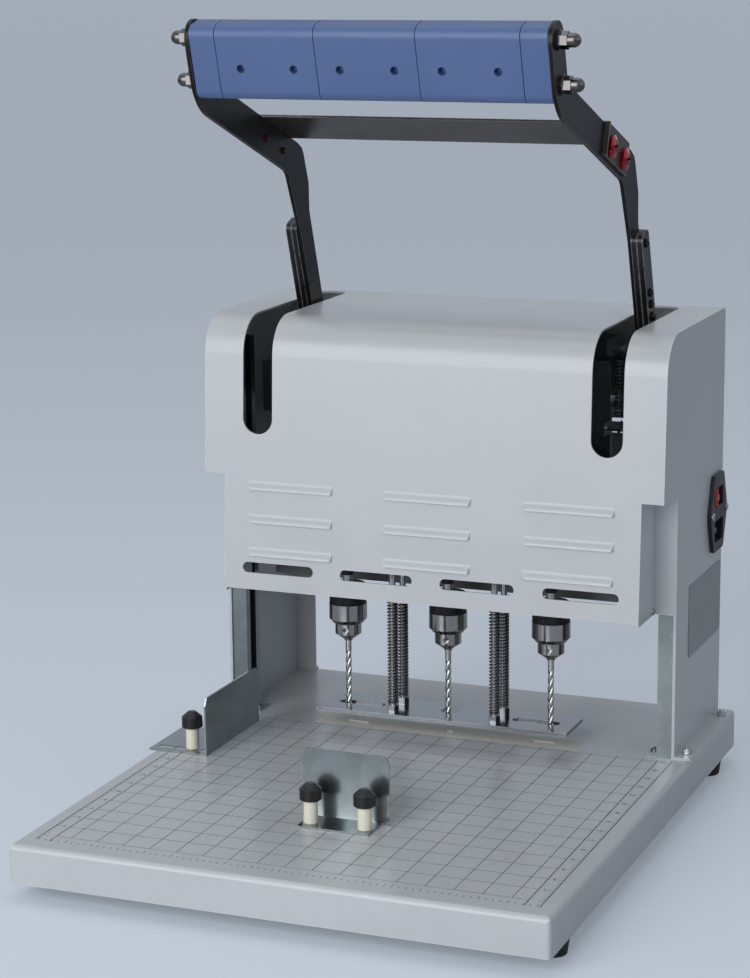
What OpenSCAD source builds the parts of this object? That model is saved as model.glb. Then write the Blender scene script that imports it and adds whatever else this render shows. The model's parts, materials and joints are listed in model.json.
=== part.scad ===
// Desktop three-hole paper drill with a hand lever, built piece by piece.
// Pieces are drawn in the machine's own frame: x to the right from the middle,
// y to the back from the table's front edge, z up from the table top.
// in_part_frame() then moves each piece so that the origin lies under the
// middle of the part, at the level of the feet.

/* [Base tray] */
// Width of the base tray
base_w = 389; // [384:1:400]
// Depth of the base tray
base_d = 472; // [470:1:490]
// Height of the folded tray
tray_h = 28; // [22:1:36]
// Sheet thickness of the tray
tray_t = 1.5; // [1:0.1:2.5]
// Radius of the tray's top edges
tray_edge_r = 4; // [2:0.5:6]
// Width of the inward lip around the tray's open underside
tray_lip_w = 28; // [26:1:34]
// Height of a rubber foot
foot_h = 12; // [8:1:16]
// Radius of a rubber foot at its top
foot_r = 12; // [9:0.5:12]
// Distance of a foot's axis from the tray's side
foot_inset_x = 12.5; // [12:0.5:14]
// Distance of a foot's axis from the tray's front and back
foot_inset_y = 41; // [14:1:60]

/* [Drilling line] */
// Distance of the drilling line from the table's front edge
drill_y = 342; // [340:0.5:344]
// Spacing of the three holes
hole_pitch = 83; // [80:0.5:86]
// Diameter of a drill bit
bit_d = 4.5; // [3:0.5:5]
// Height of the bits' tips above the table at rest
bit_tip_z = 11; // [10:0.5:13]
// Width of the cutting pad
pad_w = 24; // [18:1:28]
// Length of the cutting pad
pad_l = 216; // [200:2:240]
// Thickness of the cutting pad
pad_t = 6; // [5:0.5:8]

/* [Columns and housing] */
// Distance of a side plate's outer face from the middle
side_x = 182; // [181:0.5:184]
// Thickness of the side plates
side_t = 2; // [1.5:0.1:3]
// Front face of the columns
column_front_y = 335; // [334:0.5:336]
// Rear face of the columns
column_rear_y = 466; // [464:0.5:467]
// Width of the columns' folded flanges
flange_w = 16; // [14:0.5:17]
// Width of the outward foot flange
foot_flange_w = 12.5; // [12:0.5:13]
// Height of the lower edge of the columns' front flange
flange_bottom_z = 111; // [108:1:113]
// Height of the top of the housing
top_z = 323; // [322:1:330]
// Height of the step where the front cover widens
step_z = 202.5; // [200:0.5:205]
// Height of the front cover's lower edge
cover_bottom_z = 113.5; // [113:0.5:116]
// Front face of the cover at its lower edge
cover_front_y = 292.6; // [291:0.2:294]
// Half width of the cover below the step
cover_narrow_x = 165.3; // [164.5:0.1:165.5]
// Sheet thickness of the covers
cover_t = 1.5; // [1:0.1:1.8]
// Outer radius of the cover's bend into the top
cover_bend_r = 30; // [24:1:36]
// Backward lean of the cover's front, in degrees
cover_lean = 2.9; // [2:0.1:4]
// Middle of a lever slot
slot_x = 138.1; // [137.5:0.1:138.5]
// Width of a lever slot
slot_w = 24.2; // [24:0.2:25]
// Height of a lever slot's lower end
slot_bottom_z = 234; // [232:0.5:236]
// Rear end of a lever slot
slot_rear_y = 457; // [455:0.5:458]
// Width of one louvre
louvre_w = 69; // [60:1:75]
// Distance between the columns of louvres
louvre_pitch_x = 110.7; // [106:0.5:112]
// Distance between the rows of louvres
louvre_pitch_z = 25.6; // [22:0.2:28]
// Lower edge of the lowest row of louvres
louvre_z = 140.4; // [140:0.2:144]
// Reach of a louvre's hood in front of the cover
louvre_reach = 2.6; // [2:0.1:3.5]
// Height of a louvre's hood
louvre_h = 6.5; // [6:0.1:7.5]
// Length of a round-ended window
window_w = 58.5; // [50:0.5:62]
// Height of a window
window_h = 8.3; // [6:0.1:9]
// Distance between neighbouring windows
window_pitch = 80.6; // [78:0.2:82]
// Height of the windows' middle
window_z = 130.6; // [129:0.2:131]

/* [Guide channels] */
// Depth of a channel, across the machine
channel_w = 12; // [11:0.5:12]
// Width of a channel, front to back
channel_d = 25; // [24:0.5:28]
// Sheet thickness of a channel
channel_t = 1.5; // [1.2:0.1:1.6]
// Height of the channels
channel_h = 300; // [280:5:310]

/* [Lever] */
// Distance of the pivot from the table's front edge
pivot_y = 422.9; // [422:0.1:424]
// Height of the pivot
pivot_z = 252; // [251:0.5:253]
// Lean of the lower leg at rest, in degrees
leg_lean = 18.8; // [18:0.1:20]
// Length of the lower leg from pivot to knee
leg_l = 197.1; // [195:0.1:200]
// Rise of the middle stretch, in degrees
mid_rise = 20.5; // [19:0.1:22]
// Length of the middle stretch
mid_l = 165.6; // [160:0.1:170]
// Lean of the top stretch, in degrees
top_lean = 16; // [14:0.5:18]
// Length of the top stretch to the upper grip rod
top_l = 41; // [40:0.5:44]
// Distance of an arm's inner face from the middle
arm_x = 131; // [130.5:0.1:131.5]
// Thickness of an arm
arm_t = 3; // [2.5:0.1:3.2]
// Width of an arm
arm_w = 26; // [25:0.5:28]
// Width of a root bar
bar_w = 18.5; // [18:0.5:22]
// Length of a root bar above the pivot
bar_l = 144.5; // [143:0.5:146]
// Thickness of a root bar
bar_t = 4.2; // [3.5:0.1:4.4]
// Radius of the lever's shaft
shaft_r = 6; // [5:0.1:6.5]
// Distance between the two grip rods
grip_rod_pitch = 31; // [30:0.5:32]
// Radius of a grip rod
grip_rod_r = 3; // [2.5:0.1:3.2]
// Radius of the arms' bends, on the middle line
arm_bend_r = 28; // [18:1:34]
// Depth of the grip
grip_d = 24; // [22:0.5:26]
// Height of the grip
grip_h = 54; // [52:0.5:56]
// Radius of the grip's long edges
grip_edge_r = 8; // [5:0.5:9]
// Length of a grip end piece
grip_end_l = 19.5; // [16:0.5:24]
// Length of the brace along the arms
brace_l = 57; // [54:1:64]
// Distance of the brace's lower end from the knee
brace_start = 8; // [6:0.5:9]

/* [Rack and pinion] */
// Module of the teeth
gear_module = 1.25; // [1.2:0.05:1.3]
// Number of teeth on a pinion
pinion_teeth = 17; // [17:1:18]
// Width of a pinion
pinion_w = 12; // [8:0.5:13]
// Inner face of a pinion from the middle
pinion_x = 95; // [94:0.5:96]
// Sideways slack between the teeth
backlash = 0.3; // [0.2:0.02:0.5]

/* [Drill head] */
// Underside of the head plate at rest
head_z = 136; // [135:0.5:138]
// Thickness of the head plate
head_t = 5; // [4:0.5:6]
// Drop of the head plate's rear edge
head_drop = 30; // [20:1:32]
// Radius of a motor
motor_r = 22; // [20:0.5:22]
// Length of a motor
motor_l = 62; // [55:1:70]
// Radius of a chuck's upper sleeve
sleeve_r = 14.7; // [14:0.1:15.5]
// Radius of a chuck's lower body
chuck_r = 10.2; // [9.5:0.1:11]
// Lower end of a chuck at rest
chuck_bottom_z = 66; // [65:0.5:68]
// Radius of a chuck's key hole
key_hole_r = 2.2; // [1.5:0.1:2.5]
// Inward travel of an outer drill
drill_shift = 13; // [8:0.5:13]

/* [Press plate] */
// Length of the press plate
press_w = 204; // [200:1:210]
// Depth of the press plate
press_d = 42; // [40:0.5:44]
// Thickness of the press plate
press_t = 3; // [2:0.2:3]
// Underside of the press plate at rest
press_z = 12.8; // [12.8:0.1:14]
// Width of the slots that the bits pass
press_slot_w = 9; // [8:0.5:11]
// Radius of a guide rod
rod_r = 2.5; // [2:0.1:2.6]
// Distance of a guide rod from the middle
rod_x = 41.5; // [41:0.1:42]
// Distance of a guide rod from the drilling line
rod_dy = 11; // [10.5:0.1:11.5]
// Length of a guide rod above the head plate
rod_rise = 28; // [20:1:32]
// Outer diameter of a press spring
press_spring_d = 8.6; // [8.2:0.1:9]
// Wire diameter of a press spring
press_wire_d = 1.3; // [1:0.1:1.4]
// Turns of a press spring
press_turns = 19; // [12:1:19]

/* [Return springs] */
// Distance of a return spring from the middle
return_x = 121; // [120.5:0.5:121.5]
// Distance of a return spring from the table's front edge
return_y = 388; // [387:0.5:388]
// Height of the lower spring post at rest
return_low_z = 238; // [236:0.5:240]
// Height of the upper spring post
return_high_z = 300; // [298:0.5:302]
// Outer diameter of a return spring
return_spring_d = 7.6; // [7:0.1:8]
// Wire diameter of a return spring
return_wire_d = 1.2; // [1:0.1:1.3]
// Turns of a return spring
return_turns = 8; // [6:1:8]

/* [Paper guides] */
// Sheet thickness of the guides
guide_t = 1.2; // [1:0.1:2]
// Left edge of the side guide's foot
side_guide_left_x = -198; // [-199:0.5:-197]
// Fence face of the side guide
side_guide_x = -150; // [-152:0.5:-149]
// Front end of the side guide
side_guide_y = 221; // [218:0.5:224]
// Length of the side guide's fence
side_guide_l = 97; // [90:0.5:98]
// Height of the side guide's fence
side_guide_h = 45; // [35:1:50]
// Depth of the side guide's foot
side_guide_foot_d = 60; // [50:1:70]
// Middle of the front stop
front_stop_x = 3.7; // [0:0.1:8]
// Front end of the front stop's foot
front_stop_y = 100; // [98:0.5:104]
// Width of the front stop's fence
front_stop_w = 65.5; // [60:0.5:70]
// Height of the front stop's fence
front_stop_h = 50; // [40:1:55]
// Depth of the front stop's foot
front_stop_d = 26; // [24:0.5:30]
// Radius of a holding magnet
magnet_r = 5; // [4.5:0.1:6.5]
// Height of a holding magnet
magnet_h = 16.5; // [15:0.5:22]
// Radius of a magnet's knob
knob_r = 7.9; // [7:0.1:9.5]
// Height of a magnet's knob
knob_h = 12.5; // [10:0.5:15]

/* [Power inlet] */
// Distance of the inlet's middle from the table's front edge
inlet_y = 444.5; // [443:0.5:446]
// Height of the inlet's middle
inlet_z = 167; // [160:1:172]
// Height of the inlet's bezel
inlet_h = 60; // [56:1:62]
// Width of the inlet's bezel across its ears
inlet_w = 47; // [44:0.5:48]
// Thickness of the inlet's bezel
inlet_t = 3.2; // [2.5:0.1:4]

/* [Hidden] */
$fn = 48;

// Straight steps in a bend of a sheet
arc_steps = 12;
// Gap between pieces that lie face to face
seat_gap = 0.1;
// Radial clearance of a running fit
running_gap = 0.05;
// Amount by which a cutter passes the surface it cuts
cut = 1;

// ---------- derived places ----------
tray_corner_r = 3;
foot_xy = [base_w / 2 - foot_inset_x, foot_inset_y, base_d - foot_inset_y];
foot_screw_r = 2;
pad_pit_r = bit_d / 2 + 1;
pad_pit_depth = 3;
pad_wall = 1.5;

side_in_x = side_x - side_t;
flange_in_x = side_x - flange_w - side_t;
lip_out_x = cover_narrow_x - cover_t - seat_gap;
lip_depth = 10;
plate_top_z = top_z - cover_t - seat_gap;
column_bolt_x = side_x + 7;
column_bolt_r = 2.5;
column_bolt_y = [column_front_y + 12, column_rear_y - 16];

bend_c = [
    cover_front_y + (top_z - cover_bend_r + cover_bend_r * sin(cover_lean) - cover_bottom_z) * tan(cover_lean)
        + cover_bend_r * cos(cover_lean),
    top_z - cover_bend_r
];
cover_rear_y = column_rear_y - 3;
function front_y(z) = cover_front_y + (z - cover_bottom_z) * tan(cover_lean);

cover_screw_r = 1.4;
cover_screw_yz = [column_front_y - lip_depth / 2, cover_bottom_z + 0.5];
rear_low_z = flange_bottom_z;
rear_screw_x = [-150, -50, 50, 150];
rear_screw_z = [rear_low_z + 8, plate_top_z - 10];
channel_y = column_front_y + cover_t + seat_gap;
channel_screw_z = [30, 90, 220, 280];

pivot = [pivot_y, pivot_z];
leg_dir = [-sin(leg_lean), cos(leg_lean)];
mid_dir = [-cos(mid_rise), sin(mid_rise)];
top_dir = [-sin(top_lean), cos(top_lean)];
leg_side = [cos(leg_lean), sin(leg_lean)];
knee = pivot + leg_l * leg_dir;
elbow = knee + mid_l * mid_dir;
upper_rod = elbow + top_l * top_dir;
lower_rod = elbow + (top_l - grip_rod_pitch) * top_dir;
grip_c = (upper_rod + lower_rod) / 2;
arm_out_x = arm_x + arm_t;
bar_in_x = arm_out_x + seat_gap / 2;
bar_gap = 0.3;
bar_out_x = bar_in_x + 2 * bar_t + bar_gap;
bar_corner_r = 5;
arm_start = 36;
leg_front = 7.5;
leg_rear = 13.5;
root_bolt_s = [52, 76, 86, 95.5, 136];
root_bolt_r = 1.8;
brace_screw_s = [20, 53];
brace_screw_r = 2.5;
brace_head_r = 8;
brace_t = 1.8;
collar_r = 11;
collar_w = 5;
grip_half = arm_x - seat_gap;
grip_main_l = (2 * grip_half - 2 * grip_end_l) / 3;
grip_seam = 0.5;
grip_hole_x = 20;
grip_hole_r = 3;
grip_hole_depth = 6;

pitch_r = gear_module * pinion_teeth / 2;
addendum = 0.9 * gear_module;
dedendum = 1.2 * gear_module;
pressure = 20;
rack_pitch_y = pivot_y - pitch_r;
rack_back_y = rack_pitch_y - 9;
rack_low_z = pivot_z - 34;
rack_high_z = pivot_z + 34;
rack_plate_t = 5;
rack_plate_y = rack_back_y - rack_plate_t - seat_gap;

head_top_z = head_z + head_t;
head_x = cover_narrow_x - cover_t - 4;
head_front_y = drill_y - 24;
head_rear_y = drill_y + 38;
carriage_half = 20;
carriage_t = 3;
spindle_hole_r = 8;
bracket_t = 4;
bracket_h = 60;
bracket_y = channel_y + 1;
bracket_d = channel_d + 4;
block_gap = 0.3;
neck_d = 10;
shaft_stub_r = 4;
boss_low_z = head_z - 17;
motor_z = head_top_z + carriage_t + seat_gap;

sleeve_top_z = chuck_bottom_z + 46;
band_low_z = chuck_bottom_z + 30.5;
sleeve_low_z = chuck_bottom_z + 18.2;
body_top_z = chuck_bottom_z + 14.4;
cone_top_z = chuck_bottom_z + 6;
nose_r = bit_d / 2 + 1;
key_hole_z = chuck_bottom_z + 10;
bit_bore_gap = 0.02;
shank_low_z = chuck_bottom_z - 14;
bit_turns = 1.8;
bit_slices = 30;

press_y = drill_y - press_d / 2;
press_top_z = press_z + press_t;
press_slot_x = [hole_pitch - drill_shift - press_slot_w / 2 - 13, hole_pitch + press_slot_w / 2 + 3];
press_notch_w = 14;
rod_nut_h = 5;
rod_nut_r = 4.6;
rod_collar_r = 4.5;
rod_collar_h = 4;
rod_low_z = press_top_z;
press_spring_low_z = press_top_z + rod_nut_h;
spring_seat_gap = 0.3;
rings_per_turn = 8;
wire_sides = 6;

post_r = 1.8;
press_clear = return_spring_d / 2 + 1;
return_hook = 4;

guide_z = seat_gap;
magnet_z = guide_z + guide_t + seat_gap;
magnet_xy = [
    [side_guide_left_x + 31, side_guide_y + 12],
    [front_stop_x - 20.2, front_stop_y + 10],
    [front_stop_x + 20.2, front_stop_y + 10]
];

inlet_body_d = 22;
inlet_body_w = 26;
inlet_ear_pitch = 40;
rocker_w = 22;
rocker_h = 14;
rocker_z = inlet_z + 12.5;
socket_w = 24.4;
socket_h = 17;
socket_z = inlet_z - 14;
socket_depth = 18;

overhang = -side_guide_left_x - base_w / 2;
part_shift = [overhang / 2, -base_d / 2, foot_h + tray_h];

// ---------- helpers ----------
module in_part_frame() { translate(part_shift) children(); }

// Draws on the right, or mirrored on the left where side is -1
module on_side(side) {
    if (side > 0) children();
    else mirror([1, 0, 0]) children();
}

module on_both_sides() {
    children();
    mirror([1, 0, 0]) children();
}

// Extrudes a (y, z) drawing along x from x0
module along_x(x0, length) {
    translate([x0, 0, 0]) rotate([90, 0, 90]) linear_extrude(length) children();
}

// Extrudes an (x, z) drawing along y from y0
module along_y(y0, length) {
    translate([0, y0 + length, 0]) rotate([90, 0, 0]) linear_extrude(length) children();
}

module rod_along_x(x0, x1, r, at) {
    translate([x0, at[0], at[1]]) rotate([0, 90, 0]) cylinder(h = x1 - x0, r = r);
}

module rod_along_y(y0, y1, r, x, z) {
    translate([x, y0, z]) rotate([-90, 0, 0]) cylinder(h = y1 - y0, r = r);
}

module rod_up(x, y, z0, z1, r) { translate([x, y, z0]) cylinder(h = z1 - z0, r = r); }

// Box from its low corner to its high corner
module block(low, high) { translate(low) cube(high - low); }

module round_rect(w, h, r) {
    square([w - 2 * r, h], center = true);
    square([w, h - 2 * r], center = true);
    for (sx = [-1, 1], sy = [-1, 1])
        translate([sx * (w / 2 - r), sy * (h / 2 - r)]) circle(r = r);
}

// Round-ended slot, w long in all and h wide
module slot_shape(w, h) {
    square([w - h, h], center = true);
    for (sx = [-1, 1]) translate([sx * (w - h) / 2, 0]) circle(r = h / 2);
}

// Hexagon prism along z
module hex_up(x, y, z0, z1, r) { translate([x, y, z0]) cylinder(h = z1 - z0, r = r, $fn = 6); }

// Pan-headed screw along +z, head from z = 0 up, shank down
module pan_screw(r, shank_l, head_r, head_h) {
    translate([0, 0, -shank_l]) cylinder(h = shank_l, r = r);
    difference() {
        intersection() {
            cylinder(h = head_h, r = head_r);
            translate([0, 0, head_h - 2.2 * head_r]) sphere(r = 2.2 * head_r);
        }
        for (turn = [0, 90])
            rotate(turn) translate([-head_r * 0.55, -head_r * 0.12, head_h * 0.5])
                cube([head_r * 1.1, head_r * 0.24, head_h]);
    }
}

// ---------- winding of a spring ----------
function unit(v) = v / norm(v);

// Rings of a tube that winds round the z axis. radius(u) and height(u) are given
// as lists with one value for each ring.
function wire_ring(angle, radius, z, drift, climb, wire_r) =
    let (
        out = [cos(angle), sin(angle), 0],
        round = [-sin(angle), cos(angle), 0],
        ahead = unit(drift * out + radius * round + climb * [0, 0, 1]),
        across = unit(cross(ahead, out)),
        level = cross(across, ahead)
    )
    [for (k = [0:wire_sides - 1])
        let (a = 360 * k / wire_sides)
        radius * out + [0, 0, z] + wire_r * (cos(a) * level + sin(a) * across)];

module wire_tube(angles, radii, heights, wire_r) {
    n = len(angles);
    per_rad = 180 / PI;
    rings = [for (i = [0:n - 1])
        let (
            a = max(i - 1, 0),
            b = min(i + 1, n - 1),
            turn = (angles[b] - angles[a]) / per_rad
        )
        wire_ring(angles[i], radii[i], heights[i], (radii[b] - radii[a]) / turn,
            (heights[b] - heights[a]) / turn, wire_r)];
    points = [for (ring = rings) for (p = ring) p];
    function at(i, k) = i * wire_sides + k % wire_sides;
    faces = concat(
        [for (i = [0:n - 2], k = [0:wire_sides - 1]) [at(i, k), at(i + 1, k), at(i + 1, k + 1)]],
        [for (i = [0:n - 2], k = [0:wire_sides - 1]) [at(i, k), at(i + 1, k + 1), at(i, k + 1)]],
        [for (k = [1:wire_sides - 2]) [at(0, 0), at(0, k), at(0, k + 1)]],
        [for (k = [1:wire_sides - 2]) [at(n - 1, 0), at(n - 1, k + 1), at(n - 1, k)]]
    );
    polyhedron(points = points, faces = faces, convexity = 10);
}

// Least gap between one turn and the next, measured on the tube's middle points
function least_gap(angles, radii, heights, wire_d) =
    min([for (i = [0:len(angles) - 1 - rings_per_turn])
        let (j = i + rings_per_turn)
        norm([radii[j] - radii[i], heights[j] - heights[i]])]) - wire_d;

press_low = press_spring_low_z + spring_seat_gap + press_wire_d / 2;
press_high = head_z - spring_seat_gap - press_wire_d / 2;
press_n = press_turns * rings_per_turn;
press_angles = [for (i = [0:press_n]) 360 * i / rings_per_turn];
press_radii = [for (i = [0:press_n]) (press_spring_d - press_wire_d) / 2];
press_heights = [for (i = [0:press_n]) press_low + (press_high - press_low) * i / press_n];

return_low = return_low_z + post_r + spring_seat_gap;
return_high = return_high_z - post_r - spring_seat_gap;
return_n = return_turns * rings_per_turn;
return_r = (return_spring_d - return_wire_d) / 2;
// The wire starts near the axis, widens within half a turn, and closes again
function closing(u) = min(1, 0.12 + 0.88 * sin(90 * min(1, u / (rings_per_turn / 2))));
return_radii = [for (i = [0:return_n]) return_r * closing(min(i, return_n - i))];
return_angles = [for (i = [0:return_n]) 360 * i / rings_per_turn];
function hook_height(i) = i < 2 ? i / 2 * return_hook : i > return_n - 2
    ? return_high - return_low - (return_n - i) / 2 * return_hook
    : return_hook + (return_high - return_low - 2 * return_hook) * (i - 2) / (return_n - 4);
return_heights = [for (i = [0:return_n]) return_low + hook_height(i)];

echo(least_gap_press_spring = least_gap(press_angles, press_radii, press_heights, press_wire_d));
echo(least_gap_return_spring = least_gap(return_angles, return_radii, return_heights, return_wire_d));

// ---------- base ----------
module tray_outline(w, h, r) {
    translate([-w / 2, -h]) square([w, h - r]);
    translate([-w / 2 + r, -h]) square([w - 2 * r, h]);
    for (s = [-1, 1]) translate([s * (w / 2 - r), -r]) circle(r = r);
}

module base_tray() {
    color("silver") difference() {
        intersection() {
            along_y(0, base_d) tray_outline(base_w, tray_h, tray_edge_r);
            along_x(-base_w / 2, base_w)
                translate([base_d / 2, 0]) tray_outline(base_d, tray_h, tray_edge_r);
            translate([0, base_d / 2, -tray_h]) linear_extrude(tray_h) round_rect(base_w, base_d, tray_corner_r);
        }
        block([-base_w / 2 + tray_t, tray_t, -tray_h + tray_t], [base_w / 2 - tray_t, base_d - tray_t, -tray_t]);
        block([-base_w / 2 + tray_lip_w, tray_lip_w, -tray_h - cut],
            [base_w / 2 - tray_lip_w, base_d - tray_lip_w, -tray_h + 2 * tray_t]);
        block([-pad_l / 2 - seat_gap, drill_y - pad_w / 2 - seat_gap, -2 * tray_t],
            [pad_l / 2 + seat_gap, drill_y + pad_w / 2 + seat_gap, cut]);
        for (sx = [-1, 1], y = column_bolt_y) rod_up(sx * column_bolt_x, y, -2 * tray_t, cut, column_bolt_r + 0.1);
        for (sx = [-1, 1], y = [foot_xy[1], foot_xy[2]])
            rod_up(sx * foot_xy[0], y, -tray_h - cut, -tray_h + 2 * tray_t, foot_screw_r + 0.1);
    }
}

module rubber_feet() {
    color("#202020") for (sx = [-1, 1], y = [foot_xy[1], foot_xy[2]])
        translate([sx * foot_xy[0], y, -tray_h - foot_h]) difference() {
            cylinder(h = foot_h, r1 = foot_r * 0.85, r2 = foot_r);
            translate([0, 0, -cut]) cylinder(h = foot_h / 2 + cut, r = foot_screw_r * 2.4);
            cylinder(h = foot_h + cut, r = foot_screw_r + 0.1);
        }
}

module foot_screws() {
    color("gray") for (sx = [-1, 1], y = [foot_xy[1], foot_xy[2]])
        translate([sx * foot_xy[0], y, -tray_h - foot_h / 2]) {
            mirror([0, 0, 1]) pan_screw(foot_screw_r, foot_h / 2 + tray_t + 5, foot_screw_r * 2, 2.2);
            translate([0, 0, foot_h / 2 + tray_t + seat_gap]) difference() {
                cylinder(h = 3, r = 3.6, $fn = 6);
                translate([0, 0, -cut]) cylinder(h = 3 + 2 * cut, r = foot_screw_r);
            }
        }
}

module pad_tray() {
    color("gray") difference() {
        block([-pad_l / 2 - 10, drill_y - pad_w / 2 - 8, -pad_t - pad_wall],
            [pad_l / 2 + 10, drill_y + pad_w / 2 + 8, -tray_t]);
        block([-pad_l / 2 - seat_gap, drill_y - pad_w / 2 - seat_gap, -pad_t],
            [pad_l / 2 + seat_gap, drill_y + pad_w / 2 + seat_gap, cut]);
    }
}

module cutting_pad() {
    color("ivory") difference() {
        block([-pad_l / 2, drill_y - pad_w / 2, -pad_t], [pad_l / 2, drill_y + pad_w / 2, 0]);
        for (sx = [-1, 1]) {
            translate([sx * (hole_pitch - drill_shift / 2), drill_y, -pad_pit_depth])
                linear_extrude(pad_pit_depth + cut) slot_shape(drill_shift + 2 * pad_pit_r, 2 * pad_pit_r);
        }
        rod_up(0, drill_y, -pad_pit_depth, cut, pad_pit_r);
    }
}

// ---------- columns and housing ----------
// Everything below the cover's surface, inset from it
module housing_area(inset, low_z) {
    r = cover_bend_r - inset;
    tangent = bend_c + r * [-cos(cover_lean), sin(cover_lean)];
    foot_y = tangent[0] - (tangent[1] - low_z) * tan(cover_lean);
    polygon([[foot_y, low_z], tangent, bend_c, [bend_c[0], top_z - inset],
        [column_rear_y, top_z - inset], [column_rear_y, low_z]]);
    translate(bend_c) circle(r = r);
}

module side_plate_right() {
    difference() {
        union() {
            along_x(side_in_x, side_t) {
                housing_area(cover_t + seat_gap, step_z);
                translate([column_front_y, 0]) square([column_rear_y - column_front_y, plate_top_z]);
            }
            block([side_in_x, column_front_y, 0], [side_x + foot_flange_w, column_rear_y, side_t]);
            block([lip_out_x - cover_t, column_front_y, flange_bottom_z], [side_x, column_front_y + cover_t, step_z]);
            block([lip_out_x - cover_t, column_front_y - lip_depth, flange_bottom_z],
                [lip_out_x, column_front_y + cover_t, step_z - 4]);
            block([flange_in_x, column_rear_y - cover_t, 0], [side_x, column_rear_y, plate_top_z]);
            block([flange_in_x, column_rear_y - cover_t, 0], [side_in_x, column_rear_y + 4, side_t]);
        }
        for (y = column_bolt_y) rod_up(column_bolt_x, y, -cut, side_t + cut, column_bolt_r + 0.1);
        along_x(side_in_x - cut, side_t + 2 * cut)
            translate([inlet_y, inlet_z]) round_rect(inlet_body_w + 0.6, inlet_h - 12, 3);
        rod_along_x(lip_out_x - 2 * cover_t, lip_out_x + cut, cover_screw_r, cover_screw_yz);
    }
}

module left_side_plate() { color("gainsboro") mirror([1, 0, 0]) side_plate_left_right(); }
module side_plate_left_right() {
    side_plate_right();
    along_x(side_in_x, side_t) translate([inlet_y, inlet_z]) round_rect(inlet_body_w + 0.6, inlet_h - 12, 3);
}
module right_side_plate() { color("gainsboro") side_plate_right(); }

module column_bolts() {
    washer_t = 0.8;
    hex_h = 2.8;
    hex_r = 3.6;
    color("silver") for (sx = [-1, 1], y = column_bolt_y) translate([sx * column_bolt_x, y, side_t + seat_gap]) {
        cylinder(h = washer_t, r = 4);
        cylinder(h = washer_t + hex_h, r = hex_r, $fn = 6);
        translate([0, 0, -side_t - tray_t - 5]) cylinder(h = side_t + tray_t + 5 + washer_t + hex_h + 1.4, r = column_bolt_r * 0.8);
        translate([0, 0, -side_t - tray_t - 3 - 2 * seat_gap]) cylinder(h = 3, r = hex_r, $fn = 6);
    }
}

module channel_right() {
    out_x = side_in_x - seat_gap;
    in_x = out_x - channel_w + seat_gap;
    back_y = channel_y + channel_d;
    lip = (channel_d - neck_d - 2 * block_gap) / 2;
    difference() {
        union() {
            difference() {
                block([in_x, channel_y, seat_gap], [out_x, back_y, channel_h]);
                block([in_x - cut, channel_y + channel_t, -cut], [out_x - channel_t, back_y - channel_t, channel_h + cut]);
            }
            for (y = [channel_y, back_y - lip]) block([in_x, y, seat_gap], [in_x + channel_t, y + lip, channel_h]);
            difference() {
                block([in_x - 9, channel_y + 3, seat_gap], [in_x + channel_t, back_y - 3, channel_t + seat_gap]);
                rod_up(in_x - 4.5, channel_y + channel_d / 2, -cut, 5, 1.6);
            }
        }
        for (z = channel_screw_z) rod_along_x(in_x - cut, out_x + cut, 1.6, [channel_y + channel_d / 2, z]);
    }
    translate([in_x - 4.5, channel_y + channel_d / 2, channel_t + 2 * seat_gap]) pan_screw(1.5, channel_t, 3.2, 2);
    for (z = channel_screw_z) translate([out_x - channel_t, channel_y + channel_d / 2, z])
        rotate([0, -90, 0]) cylinder(h = 1, r = 3);
}

module left_channel() { color("#b9c0bb") mirror([1, 0, 0]) channel_right(); }
module right_channel() { color("#b9c0bb") channel_right(); }

// Solid of a louvre's bulge: open below once a smaller one is taken out of it
module louvre_bulge(z, inset) {
    steps = 8;
    corner_r = 2.2;
    depth = louvre_reach + 4;
    intersection() {
        along_x(-louvre_w / 2, louvre_w) polygon(concat(
            [[front_y(z) + cover_t - inset, z - inset], [front_y(z) - louvre_reach + inset, z - inset]],
            [for (i = [0:steps]) let (u = i / steps)
                [front_y(z + louvre_h * u) - louvre_reach * (1 - 3 * u * u + 2 * pow(u, 3)) + inset, z + louvre_h * u]],
            [[front_y(z + louvre_h) + cover_t, z + louvre_h]]
        ));
        translate([0, front_y(z) - louvre_reach + depth, z - cut]) linear_extrude(louvre_h + 2 * cut)
            round_rect(louvre_w - 2 * inset, 2 * depth - 2 * inset, corner_r - inset);
    }
}

module louvre_hood(z) {
    difference() {
        intersection() {
            louvre_bulge(z, 0);
            along_x(-louvre_w / 2, louvre_w) polygon([[cover_front_y - 20, z - cut], [front_y(z - cut) + 0.6, z - cut],
                [front_y(z + louvre_h) + 0.6, z + louvre_h], [cover_front_y - 20, z + louvre_h]]);
        }
        louvre_bulge(z, 0.9);
    }
}

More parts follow.
